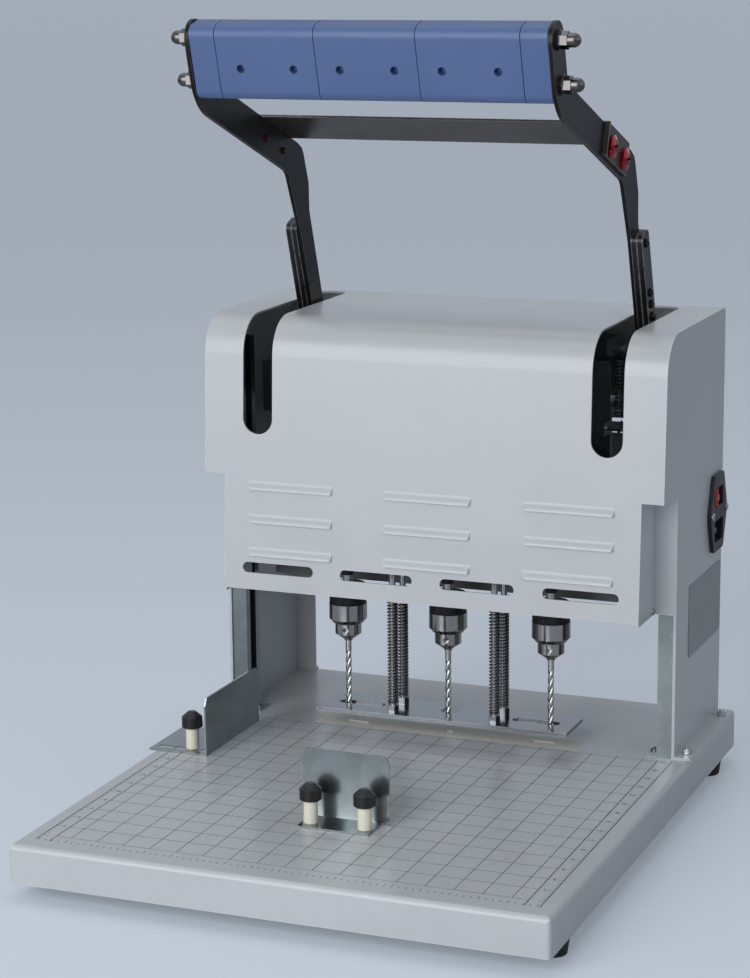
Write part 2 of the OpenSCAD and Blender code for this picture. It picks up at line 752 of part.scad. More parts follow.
module front_cover() {
    color("gainsboro") {
        difference() {
            union() {
                along_x(-side_x, 2 * side_x) difference() {
                    housing_area(0, step_z);
                    housing_area(cover_t, step_z - cut);
                    translate([cover_rear_y, 0]) square([100, top_z + cut]);
                }
                along_x(-cover_narrow_x, 2 * cover_narrow_x) difference() {
                    housing_area(0, cover_bottom_z);
                    housing_area(cover_t, cover_bottom_z - cut);
                    translate([0, step_z]) square([600, 200]);
                }
                on_both_sides() {
                    along_x(cover_narrow_x - cover_t, cover_t) difference() {
                        housing_area(0.2, cover_bottom_z - 2.5);
                        translate([column_front_y - seat_gap, 0]) square([200, 400]);
                        translate([0, step_z]) square([600, 200]);
                    }
                    along_x(cover_narrow_x - cover_t, side_in_x - seat_gap - cover_narrow_x + cover_t) difference() {
                        housing_area(0.2, step_z);
                        translate([0, step_z + cover_t]) square([600, 200]);
                        translate([column_front_y - seat_gap, 0]) square([200, 400]);
                    }
                }
            }
            on_both_sides() {
                block([slot_x - slot_w / 2, cover_front_y - 20, slot_bottom_z + slot_w / 2],
                    [slot_x + slot_w / 2, bend_c[0], top_z + cut]);
                rod_along_y(cover_front_y - 20, bend_c[0], slot_w / 2, slot_x, slot_bottom_z + slot_w / 2);
                block([slot_x - slot_w / 2, bend_c[0] - cut, top_z - 3 * cover_t],
                    [slot_x + slot_w / 2, slot_rear_y - slot_w / 2, top_z + cut]);
                rod_up(slot_x, slot_rear_y - slot_w / 2, top_z - 3 * cover_t, top_z + cut, slot_w / 2);
                rod_along_x(cover_narrow_x - 3 * cover_t, cover_narrow_x + cut, cover_screw_r + seat_gap, cover_screw_yz);
            }
            for (i = [-1.5:1.5]) along_y(cover_front_y - 10, 25)
                translate([i * window_pitch, window_z]) slot_shape(window_w, window_h);
            for (col = [-1:1], row = [0:2]) translate([col * louvre_pitch_x, 0, louvre_z + row * louvre_pitch_z])
                block([-louvre_w / 2 + 1, cover_front_y - 10, 0.4], [louvre_w / 2 - 1, cover_front_y + 20, 4.6]);
        }
        for (col = [-1:1], row = [0:2]) translate([col * louvre_pitch_x, 0, 0])
            louvre_hood(louvre_z + row * louvre_pitch_z);
    }
}

module housing_screws() {
    color("#303030") {
        inlet_screws();
        on_both_sides() translate([cover_narrow_x + seat_gap, cover_screw_yz[0], cover_screw_yz[1]])
            rotate([0, 90, 0]) pan_screw(cover_screw_r, 2 * cover_t + seat_gap, 2.6, 1.4);
        for (x = rear_screw_x, z = rear_screw_z)
            translate([x, column_rear_y + cover_t + 2 * seat_gap, z]) rotate([-90, 0, 0])
                pan_screw(cover_screw_r, cover_t + seat_gap, 2.8, 1.6);
    }
}

module rear_cover() {
    vent_w = 60;
    color("gainsboro") difference() {
        union() {
            along_y(column_rear_y + seat_gap, cover_t)
                translate([-side_x + 1, rear_low_z]) square([2 * side_x - 2, plate_top_z - rear_low_z]);
            block([-flange_in_x + 1, column_rear_y - 12, rear_low_z],
                [flange_in_x - 1, column_rear_y + seat_gap + cover_t, rear_low_z + cover_t]);
        }
        for (x = [-90, 0, 90], row = [0:5]) along_y(column_rear_y - cut, cover_t + 3 * cut)
            translate([x, rear_low_z + 110 + 9 * row]) slot_shape(vent_w, 3);
        for (x = rear_screw_x, z = rear_screw_z)
            rod_along_y(column_rear_y - cut, column_rear_y + 4 * cut, cover_screw_r + seat_gap, x, z);
    }
}

// Cross member behind the pivot, with an arm for each return spring
module rear_crossmember() {
    rib_t = 4;
    rib_x = return_x - press_clear - rib_t;
    beam_h = 45;
    low_z = return_high_z - beam_h;
    color("dimgray") difference() {
        union() {
            block([-side_in_x + seat_gap, column_rear_y - 10, low_z],
                [side_in_x - seat_gap, column_rear_y - cover_t - seat_gap, low_z + beam_h]);
            on_both_sides() {
                along_x(rib_x, rib_t) polygon([[return_y - 5, return_high_z - 6], [return_y - 5, return_high_z + 6],
                    [column_rear_y - 9, return_high_z + 6], [column_rear_y - 9, low_z + 6],
                    [column_rear_y - 30, return_high_z - 6]]);
                spring_stud(rib_x, return_high_z);
            }
        }
        block([-side_in_x - cut, column_rear_y - 8, low_z + 2], [side_in_x + cut, column_rear_y, low_z + beam_h - 2]);
    }
}

// ---------- power inlet ----------
module bezel_shape() {
    w = inlet_w / 2;
    h = inlet_h / 2;
    polygon([[-w, -4], [-w, 4], [-w * 0.62, h - 2], [-w * 0.55, h], [w * 0.55, h], [w * 0.62, h - 2],
        [w, 4], [w, -4], [w * 0.62, -h + 2], [w * 0.55, -h], [-w * 0.55, -h], [-w * 0.62, -h + 2]]);
}

module power_inlet() {
    face_x = side_x + seat_gap;
    color("#181818") difference() {
        union() {
            along_x(face_x, inlet_t) translate([inlet_y, inlet_z]) bezel_shape();
            along_x(side_x - inlet_body_d, inlet_body_d + 2 * seat_gap)
                translate([inlet_y, inlet_z]) round_rect(inlet_body_w, inlet_h - 13, 3);
        }
        along_x(side_x - 14, 30) translate([inlet_y, rocker_z])
            square([rocker_w + 0.6, rocker_h + 0.6], center = true);
        along_x(face_x + inlet_t - socket_depth, socket_depth + cut)
            translate([inlet_y, socket_z]) round_rect(socket_w, socket_h, 3);
        for (s = [-1, 1]) rod_along_x(side_x - 1, side_x + 10, 1.8, [inlet_y + s * inlet_ear_pitch / 2, inlet_z]);
    }
    color("silver") for (dy = [-7, 0, 7])
        block([face_x + inlet_t - socket_depth, inlet_y + dy - 1, socket_z + (dy == 0 ? 0.5 : -4.5)],
            [face_x + inlet_t - 4, inlet_y + dy + 1, socket_z + (dy == 0 ? 4.5 : -0.5)]);
}

module rocker_switch() {
    pin_x = side_x - 3;
    color("#c01818") {
        along_x(pin_x - 7, 8) translate([inlet_y, rocker_z]) square([12, rocker_h - 0.4], center = true);
        translate([pin_x, inlet_y, rocker_z - rocker_h / 2 + 0.2]) linear_extrude(rocker_h - 0.4)
            polygon([[2 + inlet_t, -rocker_w / 2 + 1.6], [4.5 + inlet_t, -rocker_w / 2 + 2.4],
                [2.2 + inlet_t, 0], [0.4 + inlet_t, rocker_w / 2 - 0.9], [-1, rocker_w / 2 - 1.2],
                [-1, -rocker_w / 2 + 1.4]]);
    }
}

module inlet_screws() {
    for (s = [-1, 1])
        translate([side_x + 2 * seat_gap + inlet_t, inlet_y + s * inlet_ear_pitch / 2, inlet_z])
            rotate([0, 90, 0]) pan_screw(1.5, inlet_t + 0.2, 3, 1.8);
}

module rating_plate() {
    label_d = 92;
    label_h = 56;
    label_z = 97;
    color("silver") along_x(side_x + seat_gap, 0.4)
        translate([(column_front_y + column_rear_y) / 2 + 16, label_z]) round_rect(label_d, label_h, 3);
}

module power_supply() {
    board_w = 140;
    board_h = 85;
    board_z = 130;
    board_y = column_rear_y - 9.4;
    board_t = 1.6;
    part_d = 27;
    board_front_y = board_y - board_t;
    color("darkgreen") block([-board_w / 2, board_front_y, board_z], [board_w / 2, board_y, board_z + board_h]);
    color("dimgray") {
        block([10 - board_w / 2, board_front_y - part_d, board_z + 10], [-8, board_front_y, board_z + 70]);
        for (x = [8, 30, 52]) rod_along_y(board_front_y - part_d + 4, board_front_y, 9, x, board_z + 30);
        for (sx = [-1, 1], z = [board_z + 6, board_z + board_h - 6])
            rod_along_y(board_y, column_rear_y, 3, sx * (board_w / 2 - 6), z);
    }
}

// ---------- lever ----------
module pivot_blocks() {
    half = 20;
    color("dimgray") on_both_sides() along_x(side_in_x - 22, 22 - seat_gap) difference() {
        translate([pivot_y, pivot_z]) square([2 * half, 2 * half], center = true);
        translate(pivot) circle(r = shaft_r + running_gap);
    }
}

module pivot_shaft() {
    color("silver") rod_along_x(-side_in_x + 3, side_in_x - 3, shaft_r, pivot);
}

// Points on an arc, from one angle to the other
function arc(centre, r, from, to) =
    [for (i = [0:arc_steps]) let (a = from + (to - from) * i / arc_steps) centre + r * [cos(a), sin(a)]];

// A point of the leg, given by its distances from the pivot along it and to the rear of it
function on_leg(along, across) = pivot + along * leg_dir + across * leg_side;

// An arm's outline, up one side and down the other. The leg widens towards the knee.
module arm_shape() {
    leg_a = 90 + leg_lean;
    mid_a = 180 - mid_rise;
    top_a = 90 + top_lean;
    half = arm_w / 2;
    mid_up = [sin(mid_rise), cos(mid_rise)];
    knee_c = knee + arm_bend_r * (mid_dir - leg_dir) / sin(mid_a - leg_a);
    elbow_c = elbow + arm_bend_r * (top_dir - mid_dir) / sin(mid_a - top_a);
    polygon(concat(
        arc(on_leg(arm_start, (leg_rear - leg_front) / 2), (leg_rear + leg_front) / 2, leg_a + 90, leg_a + 270),
        [on_leg(leg_l - 50, leg_rear), on_leg(leg_l - 30, leg_rear + 6.3), on_leg(leg_l - 5, leg_rear + 5.3),
            on_leg(leg_l + 0.5, leg_rear + 4), knee + half * mid_up - 4 * mid_dir],
        arc(elbow_c, arm_bend_r - half, mid_a + 90, top_a + 90),
        arc(upper_rod, half, top_a - 90, top_a + 90),
        arc(elbow_c, arm_bend_r + half, top_a + 90, mid_a + 90),
        arc(knee_c, arm_bend_r - half, mid_a - 90, leg_a - 90),
        [on_leg(leg_l - 57, -leg_front)]
    ));
}

module arm_right() {
    skin = 0.8;
    difference() {
        along_x(arm_x, arm_t) arm_shape();
        for (p = [upper_rod, lower_rod]) rod_along_x(arm_x - cut, arm_out_x + cut, grip_rod_r, p);
        for (s = root_bolt_s) rod_along_x(arm_x + skin, arm_out_x + cut, root_bolt_r, pivot + s * leg_dir);
        for (s = brace_screw_s) rod_along_x(arm_x - cut, arm_out_x + cut, brace_screw_r, knee + s * mid_dir);
    }
}

module left_arm() { color("#1c1c1e") mirror([1, 0, 0]) arm_right(); }
module right_arm() { color("#1c1c1e") arm_right(); }

// Drawn with the pivot at the origin: round there, and with rounded corners at the far end
module bar_shape() {
    half = bar_w / 2;
    r = bar_corner_r;
    polygon(concat(arc([0, 0], half, 90, 270), arc([bar_l - r, r - half], r, -90, 0), arc([bar_l - r, half - r], r, 0, 90)));
}

module root_bars_right() {
    for (x = [bar_in_x, bar_in_x + bar_t + bar_gap]) along_x(x, bar_t) difference() {
        translate(pivot) rotate(90 + leg_lean) bar_shape();
        translate(pivot) circle(r = shaft_r);
        for (s = root_bolt_s) translate(pivot + s * leg_dir) circle(r = root_bolt_r);
    }
}

module left_root_bars() { color("#2a2a2c") mirror([1, 0, 0]) root_bars_right(); }
module right_root_bars() { color("#2a2a2c") root_bars_right(); }

module root_bolts() {
    color("#3a3a3a") on_both_sides() for (s = root_bolt_s)
        translate([bar_out_x + seat_gap, pivot_y + s * leg_dir[0], pivot_z + s * leg_dir[1]])
            rotate([0, 90, 0]) pan_screw(root_bolt_r, bar_out_x - arm_x - 0.9, 3.3, 2.2);
}

module shaft_collars() {
    color("#505050") on_both_sides() for (x = [arm_out_x - collar_w - 4, bar_out_x + seat_gap])
        along_x(x, x < arm_x ? collar_w + 4 : collar_w) difference() {
            translate(pivot) circle(r = collar_r);
            translate(pivot) circle(r = shaft_r);
        }
}

// Angle at which an involute from base radius rb reaches radius r
function involute(rb, r) = let (a = acos(rb / r)) tan(a) * 180 / PI - a;

module pinion_shape() {
    rb = pitch_r * cos(pressure);
    half = 90 / pinion_teeth - backlash / 2 / pitch_r * 180 / PI;
    tip_r = pitch_r + addendum;
    root_r = pitch_r - dedendum;
    steps = 5;
    start_r = max(rb, root_r);
    flank = [for (i = [0:steps]) start_r + (tip_r - start_r) * i / steps];
    function side_angle(r) = half + involute(rb, pitch_r) - involute(rb, r);
    circle(r = root_r);
    for (tooth = [0:pinion_teeth - 1]) rotate(180 + 360 * tooth / pinion_teeth)
        polygon(concat(
            [[0, 0]],
            [for (r = flank) r * [cos(side_angle(r)), -sin(side_angle(r))]],
            [for (i = [steps:-1:0]) flank[i] * [cos(side_angle(flank[i])), sin(side_angle(flank[i]))]]
        ));
}

module pinions() {
    color("silver") on_both_sides() along_x(pinion_x, pinion_w) difference() {
        translate(pivot) pinion_shape();
        translate(pivot) circle(r = shaft_r);
    }
}

module brace_plate() {
    // Drawn along the middle stretch: first value along it from the knee, second across it
    module on_mid(x0, length) {
        along_x(x0, length) translate(knee) rotate(180 - mid_rise) mirror([0, 1]) children();
    }
    edge = arm_w / 2 + seat_gap;
    lip_w = 1.5;
    tab_x = arm_out_x + seat_gap / 2;
    color("#3a3230") difference() {
        union() {
            on_mid(-tab_x - brace_t, 2 * (tab_x + brace_t))
                translate([brace_start, edge]) square([brace_l, brace_t]);
            on_both_sides() {
                on_mid(tab_x, brace_t) translate([brace_start, 3 - edge]) square([brace_l, 2 * edge - 3 + brace_t]);
                on_mid(tab_x, brace_t + lip_w)
                    translate([brace_start + brace_l - 1.5, 3 - edge]) square([1.5, 2 * edge - 3 + brace_t]);
            }
        }
        on_both_sides() for (s = brace_screw_s)
            rod_along_x(tab_x - cut, tab_x + brace_t + cut, brace_screw_r, knee + s * mid_dir);
    }
}

module brace_screws() {
    tab_x = arm_out_x + seat_gap / 2;
    color("#a01420") on_both_sides() for (s = brace_screw_s)
        translate([tab_x + brace_t + seat_gap, knee[0] + s * mid_dir[0], knee[1] + s * mid_dir[1]])
            rotate([0, 90, 0]) pan_screw(brace_screw_r, brace_t + arm_t + 2, brace_head_r, 4.6);
}

// One stretch of the grip from x0 to x1, with the two rods' bores
module grip_piece(x0, x1) {
    color("#4a6399") difference() {
        along_x(x0 + grip_seam / 2, x1 - x0 - grip_seam)
            translate(grip_c) rotate(top_lean) round_rect(grip_d, grip_h, grip_edge_r);
        for (p = [upper_rod, lower_rod]) rod_along_x(x0 - cut, x1 + cut, grip_rod_r + seat_gap, p);
        if (x1 - x0 > 2 * grip_hole_x) for (s = [-1, 1])
            translate([(x0 + x1) / 2 + s * grip_hole_x, grip_c[0], grip_c[1]]) rotate([top_lean, 0, 0])
                translate([0, -grip_d / 2 - cut, -3]) rotate([-90, 0, 0])
                    cylinder(h = grip_hole_depth + cut, r = grip_hole_r);
    }
}

module grip_left_end() { grip_piece(-grip_half, -grip_half + grip_end_l); }
module grip_left() { grip_piece(-1.5 * grip_main_l, -0.5 * grip_main_l); }
module grip_middle() { grip_piece(-0.5 * grip_main_l, 0.5 * grip_main_l); }
module grip_right() { grip_piece(0.5 * grip_main_l, 1.5 * grip_main_l); }
module grip_right_end() { grip_piece(grip_half - grip_end_l, grip_half); }

module grip_rods() {
    color("silver") for (p = [upper_rod, lower_rod])
        rod_along_x(-arm_out_x - 10, arm_out_x + 10, grip_rod_r, p);
}

module acorn_nuts() {
    washer_t = 1.4;
    hex_l = 6;
    color("#707070") on_both_sides() for (p = [upper_rod, lower_rod])
        translate([arm_out_x + seat_gap, p[0], p[1]]) rotate([0, 90, 0]) difference() {
            union() {
                cylinder(h = washer_t, r = 7);
                translate([0, 0, washer_t]) cylinder(h = hex_l, r = 6.2, $fn = 6);
                translate([0, 0, washer_t + hex_l]) cylinder(h = 3.5, r = 4.9);
                translate([0, 0, washer_t + hex_l + 3.5]) intersection() {
                    sphere(r = 4.9);
                    cylinder(h = 6, r = 6);
                }
            }
            translate([0, 0, -cut]) cylinder(h = 10 + cut, r = grip_rod_r);
        }
}

// ---------- drill head ----------
module head_plate() {
    color("#606468") difference() {
        union() {
            block([-head_x, head_front_y, head_z], [head_x, head_rear_y, head_top_z]);
            block([-head_x, head_rear_y - 3, head_z - head_drop], [head_x, head_rear_y, head_top_z]);
        }
        rod_up(0, drill_y, head_z - cut, head_top_z + cut, spindle_hole_r);
        for (sx = [-1, 1]) translate([sx * (hole_pitch - drill_shift / 2), drill_y, head_z - cut])
            linear_extrude(head_t + 2 * cut)
                slot_shape(drill_shift + 2 * spindle_hole_r + 1, 2 * spindle_hole_r + 1);
        for (sx = [-1, 1], sy = [-1, 1])
            rod_up(sx * rod_x, drill_y + sy * rod_dy, head_z - cut, head_top_z + cut, rod_r + running_gap);
    }
}

module head_brackets() {
    color("#606468") on_both_sides() {
        block([head_x - bracket_t, bracket_y, head_top_z + seat_gap],
            [head_x, bracket_y + bracket_d, head_top_z + bracket_h]);
        block([head_x - 22, bracket_y, head_top_z + seat_gap],
            [head_x, bracket_y + bracket_d, head_top_z + bracket_t]);
    }
}

module slide_blocks() {
    in_x = side_in_x - channel_w;
    mid_y = channel_y + channel_d / 2;
    half = channel_d / 2 - channel_t - block_gap;
    color("ivory") on_both_sides() for (z = [head_top_z + 6, head_top_z + bracket_h - 26]) {
        block([in_x + channel_t + block_gap, mid_y - half, z],
            [side_in_x - seat_gap - channel_t - 1.2, mid_y + half, z + 20]);
        block([head_x + seat_gap, mid_y - neck_d / 2, z], [in_x + channel_t + block_gap + 1, mid_y + neck_d / 2, z + 20]);
    }
}

module rack_shape() {
    // Teeth point to +y; a gap lies level with the pivot at rest
    step = PI * gear_module;
    half = step / 4 - backlash / 2;
    slope = tan(pressure);
    translate([rack_back_y, rack_low_z])
        square([rack_pitch_y - dedendum - rack_back_y, rack_high_z - rack_low_z]);
    for (i = [-6.5:6.5]) translate([rack_pitch_y, pivot_z + i * step])
        polygon([[-dedendum - 0.01, -half - dedendum * slope], [addendum, -half + addendum * slope],
            [addendum, half - addendum * slope], [-dedendum - 0.01, half + dedendum * slope]]);
}

module racks() {
    foot_t = 5;
    color("silver") on_both_sides() {
        along_x(pinion_x - 0.5, pinion_w + 1) rack_shape();
        block([pinion_x - 4, rack_plate_y, head_top_z + seat_gap],
            [pinion_x + pinion_w + 4, rack_plate_y + rack_plate_t + seat_gap, rack_high_z - 2]);
        block([pinion_x - 4, head_rear_y - 12, head_top_z + seat_gap],
            [pinion_x + pinion_w + 4, rack_plate_y + rack_plate_t, head_top_z + seat_gap + foot_t]);
        difference() {
            block([pinion_x + pinion_w, return_y - 5, return_low_z - 5],
                [pinion_x + pinion_w + 4, rack_plate_y + 1, return_low_z + 5]);
            rod_along_x(pinion_x, pinion_x + 30, post_r, [return_y, return_low_z]);
        }
    }
}

// Stud with a head that keeps a return spring's hook in place
module spring_stud(from_x, z) {
    end_x = return_x + return_spring_d / 2 + seat_gap;
    rod_along_x(from_x, end_x, post_r, [return_y, z]);
    rod_along_x(end_x, end_x + 1.5, post_r + 1.6, [return_y, z]);
}

module spring_posts() {
    color("silver") on_both_sides() spring_stud(pinion_x + pinion_w, return_low_z);
}

module motor(x, gap) {
    color("#2b2b2b") {
        rod_up(x, drill_y, motor_z, motor_z + motor_l, motor_r);
        rod_up(x, drill_y, motor_z + motor_l, motor_z + motor_l + 5, motor_r * 0.4);
        rod_up(x, drill_y, head_z - 3, motor_z, spindle_hole_r - 0.5);
        translate([x, drill_y, boss_low_z])
            cylinder(h = head_z - 3 - boss_low_z, r1 = shaft_stub_r + 0.6, r2 = spindle_hole_r - 0.5);
        if (gap > 0) block([x - carriage_half, drill_y - 20, head_top_z + seat_gap],
            [x + carriage_half, drill_y + 20, motor_z]);
        else rod_up(x, drill_y, head_top_z + seat_gap, motor_z, motor_r);
    }
}

module left_motor() { motor(-hole_pitch, 1); }
module middle_motor() { motor(0, 0); }
module right_motor() { motor(hole_pitch, 1); }

module chuck(x) {
    color("#8a8a8a") translate([x, drill_y, 0]) difference() {
        union() {
            translate([0, 0, sleeve_top_z]) cylinder(h = boss_low_z - seat_gap - sleeve_top_z, r = shaft_stub_r);
            rotate_extrude() polygon([[0, chuck_bottom_z], [nose_r, chuck_bottom_z], [nose_r, chuck_bottom_z + 1],
                [chuck_r, cone_top_z], [chuck_r, body_top_z], [sleeve_r, sleeve_low_z], [sleeve_r, band_low_z],
                [sleeve_r - 0.6, band_low_z + 0.6], [sleeve_r - 0.6, sleeve_top_z - 1], [sleeve_r - 1.6, sleeve_top_z],
                [0, sleeve_top_z]]);
        }
        for (turn = [10, 130, 250]) rotate([0, 0, turn]) translate([0, 0, key_hole_z]) rotate([90, 0, 0])
            translate([0, 0, chuck_r - 4]) cylinder(h = 6, r = key_hole_r);
        translate([0, 0, chuck_bottom_z - cut]) cylinder(h = 15 + cut, r = bit_d / 2 + bit_bore_gap);
    }
}

module left_chuck() { chuck(-hole_pitch); }
module middle_chuck() { chuck(0); }
module right_chuck() { chuck(hole_pitch); }

// Cross-section of the twisted stretch: two flutes between two lands
function flute_r(a) = bit_d / 2 * (0.5 + 0.5 * pow(abs(cos(a)), 0.5));

module bit(x) {
    tip_h = bit_d / 2 * 0.6;
    color("silver") translate([x, drill_y, 0]) {
        translate([0, 0, shank_low_z]) cylinder(h = chuck_bottom_z + 14 - shank_low_z, r = bit_d / 2);
        translate([0, 0, bit_tip_z + tip_h])
            linear_extrude(shank_low_z - bit_tip_z - tip_h, twist = -360 * bit_turns, slices = bit_slices, $fn = 12)
                polygon([for (k = [0:11]) flute_r(30 * k) * [cos(30 * k), sin(30 * k)]]);
        translate([0, 0, bit_tip_z]) cylinder(h = tip_h, r1 = 0.2, r2 = bit_d / 2 * 0.55);
    }
}

module left_bit() { bit(-hole_pitch); }
module middle_bit() { bit(0); }
module right_bit() { bit(hole_pitch); }

// ---------- press plate ----------
module press_plate() {
    slot_mid = (press_slot_x[0] + press_slot_x[1]) / 2;
    color("lightsteelblue") difference() {
        union() {
            block([-press_w / 2, press_y, press_z], [press_w / 2, press_y + press_d, press_top_z]);
            for (sx = [-1, 1], sy = [-1, 1]) difference() {
                hex_up(sx * rod_x, drill_y + sy * rod_dy, press_top_z, press_spring_low_z, rod_nut_r);
                rod_up(sx * rod_x, drill_y + sy * rod_dy, press_z, press_spring_low_z + cut, rod_r);
            }
        }
        for (sx = [-1, 1]) translate([sx * slot_mid, drill_y, press_z - cut])
            linear_extrude(press_t + 2 * cut) slot_shape(press_slot_x[1] - press_slot_x[0], press_slot_w);
        translate([0, drill_y, press_z - cut]) linear_extrude(press_t + 2 * cut) {
            circle(r = press_slot_w / 2);
            translate([-press_notch_w / 2, 0]) square([press_notch_w, press_d]);
        }
    }
}

module guide_rods() {
    top = head_top_z + rod_rise;
    color("silver") for (sx = [-1, 1], sy = [-1, 1]) {
        rod_up(sx * rod_x, drill_y + sy * rod_dy, rod_low_z, top, rod_r);
        rod_up(sx * rod_x, drill_y + sy * rod_dy, head_top_z + seat_gap, head_top_z + rod_collar_h, rod_collar_r);
    }
}

module press_springs() {
    color("gray") for (sx = [-1, 1], sy = [-1, 1]) translate([sx * rod_x, drill_y + sy * rod_dy, 0])
        wire_tube(press_angles, press_radii, press_heights, press_wire_d / 2);
}

module return_springs() {
    color("silver") on_both_sides() translate([return_x, return_y, 0])
        wire_tube(return_angles, return_radii, return_heights, return_wire_d / 2);
}

// ---------- paper guides ----------
module side_guide() {
    corner = 6;
    color("#aeb4b0") {
        along_x(side_guide_x - guide_t, guide_t) polygon([
            [side_guide_y, guide_z], [side_guide_y, side_guide_h - corner], [side_guide_y + corner / 2, side_guide_h],
            [side_guide_y + side_guide_l - corner, side_guide_h], [side_guide_y + side_guide_l, side_guide_h - corner],
            [side_guide_y + side_guide_l, guide_z]]);
        difference() {
            block([side_guide_left_x, side_guide_y, guide_z],
                [side_guide_x, side_guide_y + side_guide_foot_d, guide_z + guide_t]);
            translate([(side_guide_left_x + side_guide_x) / 2, side_guide_y + 9, guide_z - cut])
                linear_extrude(guide_t + 2 * cut) slot_shape(40, 6);
        }
    }
}

module front_stop() {
    corner = 6;
    half = front_stop_w / 2;
    fence_y = front_stop_y + front_stop_d - guide_t;
    color("#aeb4b0") {
        along_y(fence_y, guide_t) translate([front_stop_x, 0]) {
            translate([-half, guide_z]) square([2 * half, front_stop_h - corner - guide_z]);
            translate([-half + corner, guide_z]) square([2 * half - 2 * corner, front_stop_h - guide_z]);
            for (s = [-1, 1]) translate([s * (half - corner), front_stop_h - corner]) circle(r = corner);
        }
        block([front_stop_x - half + 6, front_stop_y, guide_z],
            [front_stop_x + half - 6, front_stop_y + front_stop_d, guide_z + guide_t]);
    }
}

module magnet(p) { color("ivory") rod_up(p[0], p[1], magnet_z, magnet_z + magnet_h, magnet_r); }

module magnet_knob(p) {
    color("#181818") translate([p[0], p[1], magnet_z + magnet_h + seat_gap]) {
        cylinder(h = knob_h * 0.7, r = knob_r);
        translate([0, 0, knob_h * 0.7]) cylinder(h = knob_h * 0.3, r1 = knob_r, r2 = knob_r * 0.4);
    }
}

module side_magnet() { magnet(magnet_xy[0]); }
module side_magnet_knob() { magnet_knob(magnet_xy[0]); }
module stop_magnets() { for (p = [magnet_xy[1], magnet_xy[2]]) magnet(p); }
module stop_magnet_knobs() { for (p = [magnet_xy[1], magnet_xy[2]]) magnet_knob(p); }

in_part_frame() base_tray();
in_part_frame() rubber_feet();
in_part_frame() foot_screws();
in_part_frame() pad_tray();
in_part_frame() cutting_pad();
in_part_frame() left_side_plate();
in_part_frame() right_side_plate();
in_part_frame() column_bolts();
in_part_frame() left_channel();
in_part_frame() right_channel();
in_part_frame() front_cover();
in_part_frame() rear_cover();
in_part_frame() housing_screws();
in_part_frame() rear_crossmember();
in_part_frame() power_inlet();
in_part_frame() rocker_switch();
in_part_frame() rating_plate();
in_part_frame() power_supply();
in_part_frame() pivot_blocks();
in_part_frame() pivot_shaft();
in_part_frame() left_arm();
in_part_frame() right_arm();
in_part_frame() left_root_bars();
in_part_frame() right_root_bars();
in_part_frame() root_bolts();
in_part_frame() shaft_collars();
in_part_frame() pinions();
in_part_frame() brace_plate();
in_part_frame() brace_screws();
in_part_frame() grip_left_end();
in_part_frame() grip_left();
in_part_frame() grip_middle();
in_part_frame() grip_right();
in_part_frame() grip_right_end();
in_part_frame() grip_rods();
in_part_frame() acorn_nuts();
in_part_frame() head_plate();
in_part_frame() head_brackets();
in_part_frame() slide_blocks();
in_part_frame() racks();
in_part_frame() spring_posts();
in_part_frame() left_motor();
in_part_frame() middle_motor();
in_part_frame() right_motor();
in_part_frame() left_chuck();
in_part_frame() middle_chuck();
in_part_frame() right_chuck();
in_part_frame() left_bit();
in_part_frame() middle_bit();
in_part_frame() right_bit();
in_part_frame() press_plate();
in_part_frame() guide_rods();
in_part_frame() press_springs();
in_part_frame() return_springs();
in_part_frame() side_guide();
in_part_frame() side_magnet();
in_part_frame() side_magnet_knob();
in_part_frame() front_stop();
in_part_frame() stop_magnets();
in_part_frame() stop_magnet_knobs();
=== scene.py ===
"""Finishes, small pieces, studio and camera for a desktop paper drill.

The machine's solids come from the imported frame. This script softens their edges, gives them
their finishes, and adds the printed scale, the wound springs, the fluted bits and the like.
Lengths in the classes are millimetres in the machine's own directions: x to the right from
the middle, y to the back from the table's front edge, z up from the table's top.
"""

from __future__ import annotations

import json
import logging
import math
from dataclasses import dataclass, field
from enum import Enum

import bmesh
import bpy
from mathutils import Matrix, Vector

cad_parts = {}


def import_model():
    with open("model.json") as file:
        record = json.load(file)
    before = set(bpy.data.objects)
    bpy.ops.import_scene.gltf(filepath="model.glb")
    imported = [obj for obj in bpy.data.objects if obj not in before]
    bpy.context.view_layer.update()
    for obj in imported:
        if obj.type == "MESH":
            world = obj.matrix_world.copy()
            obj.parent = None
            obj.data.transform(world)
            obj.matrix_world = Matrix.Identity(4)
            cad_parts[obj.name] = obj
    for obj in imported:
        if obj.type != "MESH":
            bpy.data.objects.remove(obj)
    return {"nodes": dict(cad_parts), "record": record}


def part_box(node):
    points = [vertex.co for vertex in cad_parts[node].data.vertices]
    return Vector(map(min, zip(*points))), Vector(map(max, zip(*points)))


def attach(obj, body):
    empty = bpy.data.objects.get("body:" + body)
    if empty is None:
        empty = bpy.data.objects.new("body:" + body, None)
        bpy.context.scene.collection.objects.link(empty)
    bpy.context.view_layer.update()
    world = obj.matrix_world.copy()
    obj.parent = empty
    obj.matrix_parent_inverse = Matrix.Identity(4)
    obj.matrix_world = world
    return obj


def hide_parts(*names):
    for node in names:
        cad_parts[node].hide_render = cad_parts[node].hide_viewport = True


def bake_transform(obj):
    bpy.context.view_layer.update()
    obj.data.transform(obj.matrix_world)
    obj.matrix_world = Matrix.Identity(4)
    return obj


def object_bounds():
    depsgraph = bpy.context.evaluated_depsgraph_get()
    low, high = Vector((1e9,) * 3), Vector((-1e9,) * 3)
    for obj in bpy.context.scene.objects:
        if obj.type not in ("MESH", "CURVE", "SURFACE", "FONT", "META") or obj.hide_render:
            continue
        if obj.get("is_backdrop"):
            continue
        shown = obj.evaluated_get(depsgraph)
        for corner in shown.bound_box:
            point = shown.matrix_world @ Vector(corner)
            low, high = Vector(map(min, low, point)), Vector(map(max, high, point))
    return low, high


LOG = logging.getLogger("paper_drill")
MM = 0.001


# ---------------------------------------------------------------- places


